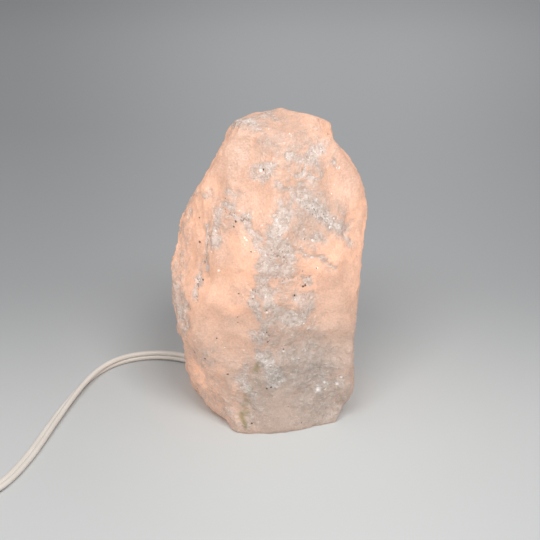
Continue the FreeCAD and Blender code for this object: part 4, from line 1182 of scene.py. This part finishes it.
class LAMP_OT_switch(bpy.types.Operator):
    """Finishes the switch in the lead and the coil's tie"""

    bl_idname = "quartz_lamp.switch"
    bl_label = "Switch"

    def execute(self, context):
        settings = context.scene.quartz_fittings
        dress(moulded_finish("switch_abs", settings.switch, 0.3), "switch_bottom", "switch_top")
        dress(moulded_finish("rocker_abs", settings.rocker, 0.26), "switch_rocker")
        dress(moulded_finish("tie_polythene", settings.tie, 0.4), "coil_tie")
        return {"FINISHED"}


# Stage

# The floor's corners, the point that the camera faces and the one that the soft boxes face, in metres.
FLOOR_CORNERS = [(-4, -3, 0), (4, -3, 0), (4, 6, 0), (-4, 6, 0)]
CAMERA_TARGET = np.array([0.00108, -0.00112, 0.072])
LIGHT_TARGET = np.array([0, 0, 0.05])
# Soft boxes: name, place in metres and power in watts.
LIGHT_BOXES = [("left_box", (-0.32, -0.8, 1.1), 7.0), ("right_box", (0.38, -0.82, 1.15), 11.0)]


class StageSettings(bpy.types.PropertyGroup):
    """Camera, floor and light."""

    distance: bpy.props.FloatProperty(
        name="Camera distance", description="From the stone's middle", default=0.5, unit="LENGTH"
    )
    tilt: bpy.props.FloatProperty(
        name="Camera tilt",
        description="Height angle of the camera",
        default=math.radians(24.5),
        unit="ROTATION",
    )
    lens: bpy.props.FloatProperty(
        name="Lens", description="Focal length in millimetres", default=65.7, unit="CAMERA"
    )
    box_size: bpy.props.FloatProperty(
        name="Soft box", description="Width of each soft box", default=0.55, unit="LENGTH"
    )
    floor_near: bpy.props.FloatVectorProperty(
        name="Floor, near", description="Floor in front", default=linear("D1D3D2"), subtype="COLOR"
    )
    # Painted shade: the grey band of floor behind the stone.
    floor_behind_painted_shade: bpy.props.FloatVectorProperty(
        name="Floor, behind", description="Behind the stone", default=linear("B6B7B8"), subtype="COLOR"
    )
    floor_far: bpy.props.FloatVectorProperty(
        name="Floor, far", description="Backdrop", default=linear("E0E1E2"), subtype="COLOR"
    )
    # Painted shade: the darker sweep towards the sides.
    floor_side_painted_shade: bpy.props.FloatVectorProperty(
        name="Floor, sides", description="Sweep at the sides", default=linear("808182"), subtype="COLOR"
    )
    sky: bpy.props.FloatVectorProperty(
        name="Studio", description="Light from all round", default=linear("FCFDFF"), subtype="COLOR"
    )


def floor_finish(settings):
    """Pale paper sweep with painted shade: it turns from pale in front to a painted grey shade behind the
    stone and pale again far off, and painted shade darkens it outwards from a fan along its middle. Distances
    are in millimetres."""
    finish, tree, shader, place = new_finish("pale_paper_painted_shade")
    apart = node(tree, "ShaderNodeSeparateXYZ", inputs={0: place})
    across = apart.outputs["X"]
    away = apart.outputs["Y"]
    # The fan opens from a point 456 mm in front, and its middle line leans a little to the right.
    spread = node(tree, "ShaderNodeMath", {"operation": "ADD"}, {0: away, 1: 456.0})
    spread = node(tree, "ShaderNodeMath", {"operation": "MAXIMUM"}, {0: spread.outputs[0], 1: 200.0})
    aside = node(tree, "ShaderNodeMath", {"operation": "DIVIDE"}, {0: across, 1: spread.outputs[0]})
    aside = node(tree, "ShaderNodeMath", {"operation": "SUBTRACT"}, {0: aside.outputs[0], 1: 0.075})
    aside = node(tree, "ShaderNodeMath", {"operation": "ABSOLUTE"}, {0: aside.outputs[0]})
    fade = node(tree, "ShaderNodeMapRange", inputs={0: away, 1: -120.0, 2: 500.0, 3: 0.1, 4: 0.46})
    colour = (*settings.floor_near, 1)
    # Painted shade: grey behind the stone, and darker outwards from the fan.
    for where, low, high, share, tone in (
        (away, -60.0, 150.0, 1.0, settings.floor_behind_painted_shade),
        (away, 150.0, 1050.0, 1.0, settings.floor_far),
        (aside.outputs[0], 0.04, 0.36, fade.outputs[0], settings.floor_side_painted_shade),
    ):
        reach = node(
            tree,
            "ShaderNodeMapRange",
            {"interpolation_type": "SMOOTHSTEP"},
            {0: where, 1: low, 2: high, 3: 0.0, 4: share},
        )
        made = node(
            tree, "ShaderNodeMix", {"data_type": "RGBA"}, {0: reach.outputs[0], 6: colour, 7: (*tone, 1)}
        )
        colour = made.outputs[2]
    tree.links.new(colour, shader.inputs["Base Color"])
    shader.inputs["Roughness"].default_value = 0.9
    shader.inputs["Specular IOR Level"].default_value = 0.1
    return finish


def look(aim):
    """Rotation that points a camera or lamp along a line, with its top upwards."""
    flat = math.hypot(aim[0], aim[1])
    return (math.atan2(flat, -aim[2]), 0.0, math.atan2(-aim[0], aim[1]))


class LAMP_OT_stage(bpy.types.Operator):
    """Sets the floor, the lights and the camera"""

    bl_idname = "quartz_lamp.stage"
    bl_label = "Stage"

    def execute(self, context):
        scene = context.scene
        settings = scene.quartz_stage
        scene.view_settings.view_transform = "Standard"
        mesh = bpy.data.meshes.new("floor")
        mesh.from_pydata(FLOOR_CORNERS, [], [(0, 1, 2, 3)])
        mesh.materials.append(floor_finish(settings))
        floor = bpy.data.objects.new("floor", mesh)
        scene.collection.objects.link(floor)
        world = bpy.data.worlds.new("studio")
        world.use_nodes = True
        background = world.node_tree.nodes["Background"]
        background.inputs["Color"].default_value = (*settings.sky, 1)
        background.inputs["Strength"].default_value = 0.3
        scene.world = world
        for name, place, power in LIGHT_BOXES:
            lamp = bpy.data.lights.new(name, "AREA")
            lamp.size = settings.box_size
            lamp.energy = power
            box = bpy.data.objects.new(name, lamp)
            scene.collection.objects.link(box)
            box.location = place
            box.rotation_euler = look(LIGHT_TARGET - place)
        camera = bpy.data.cameras.new("camera")
        camera.lens = settings.lens
        camera.sensor_width = 36.0
        camera.dof.use_dof = False
        view = bpy.data.objects.new("camera", camera)
        scene.collection.objects.link(view)
        back = np.array([0, -math.cos(settings.tilt), math.sin(settings.tilt)])
        view.location = CAMERA_TARGET + settings.distance * back
        view.rotation_euler = look(-back)
        scene.camera = view
        return {"FINISHED"}


STEPS = (LAMP_OT_stage, LAMP_OT_lead, LAMP_OT_stone, LAMP_OT_holder, LAMP_OT_bulb, LAMP_OT_switch)
GROUPS = {
    "quartz_stone": StoneSettings,
    "quartz_lead": LeadSettings,
    "quartz_fittings": FittingSettings,
    "quartz_stage": StageSettings,
}


class LAMP_PT_panel(bpy.types.Panel):
    """Lists the lamp's steps and settings"""

    bl_label = "Quartz lamp"
    bl_idname = "LAMP_PT_panel"
    bl_space_type = "VIEW_3D"
    bl_region_type = "UI"
    bl_category = "Quartz lamp"

    def draw(self, context):
        for step in STEPS:
            self.layout.operator(step.bl_idname)
        for name, group in GROUPS.items():
            box = self.layout.box()
            for setting in group.__annotations__:
                box.prop(getattr(context.scene, name), setting)


def register():
    """Makes the settings, the operators and the panel known to Blender."""
    for name, group in GROUPS.items():
        bpy.utils.register_class(group)
        setattr(bpy.types.Scene, name, bpy.props.PointerProperty(type=group))
    for step in STEPS + (LAMP_PT_panel,):
        bpy.utils.register_class(step)


def unregister():
    """Removes what register made known."""
    for step in (LAMP_PT_panel,) + STEPS[::-1]:
        bpy.utils.unregister_class(step)
    for name, group in GROUPS.items():
        delattr(bpy.types.Scene, name)
        bpy.utils.unregister_class(group)


def main():
    """Builds the whole scene."""
    register()
    for step in STEPS:
        group, name = step.bl_idname.split(".")
        getattr(getattr(bpy.ops, group), name)()


if __name__ == "__main__":
    main()
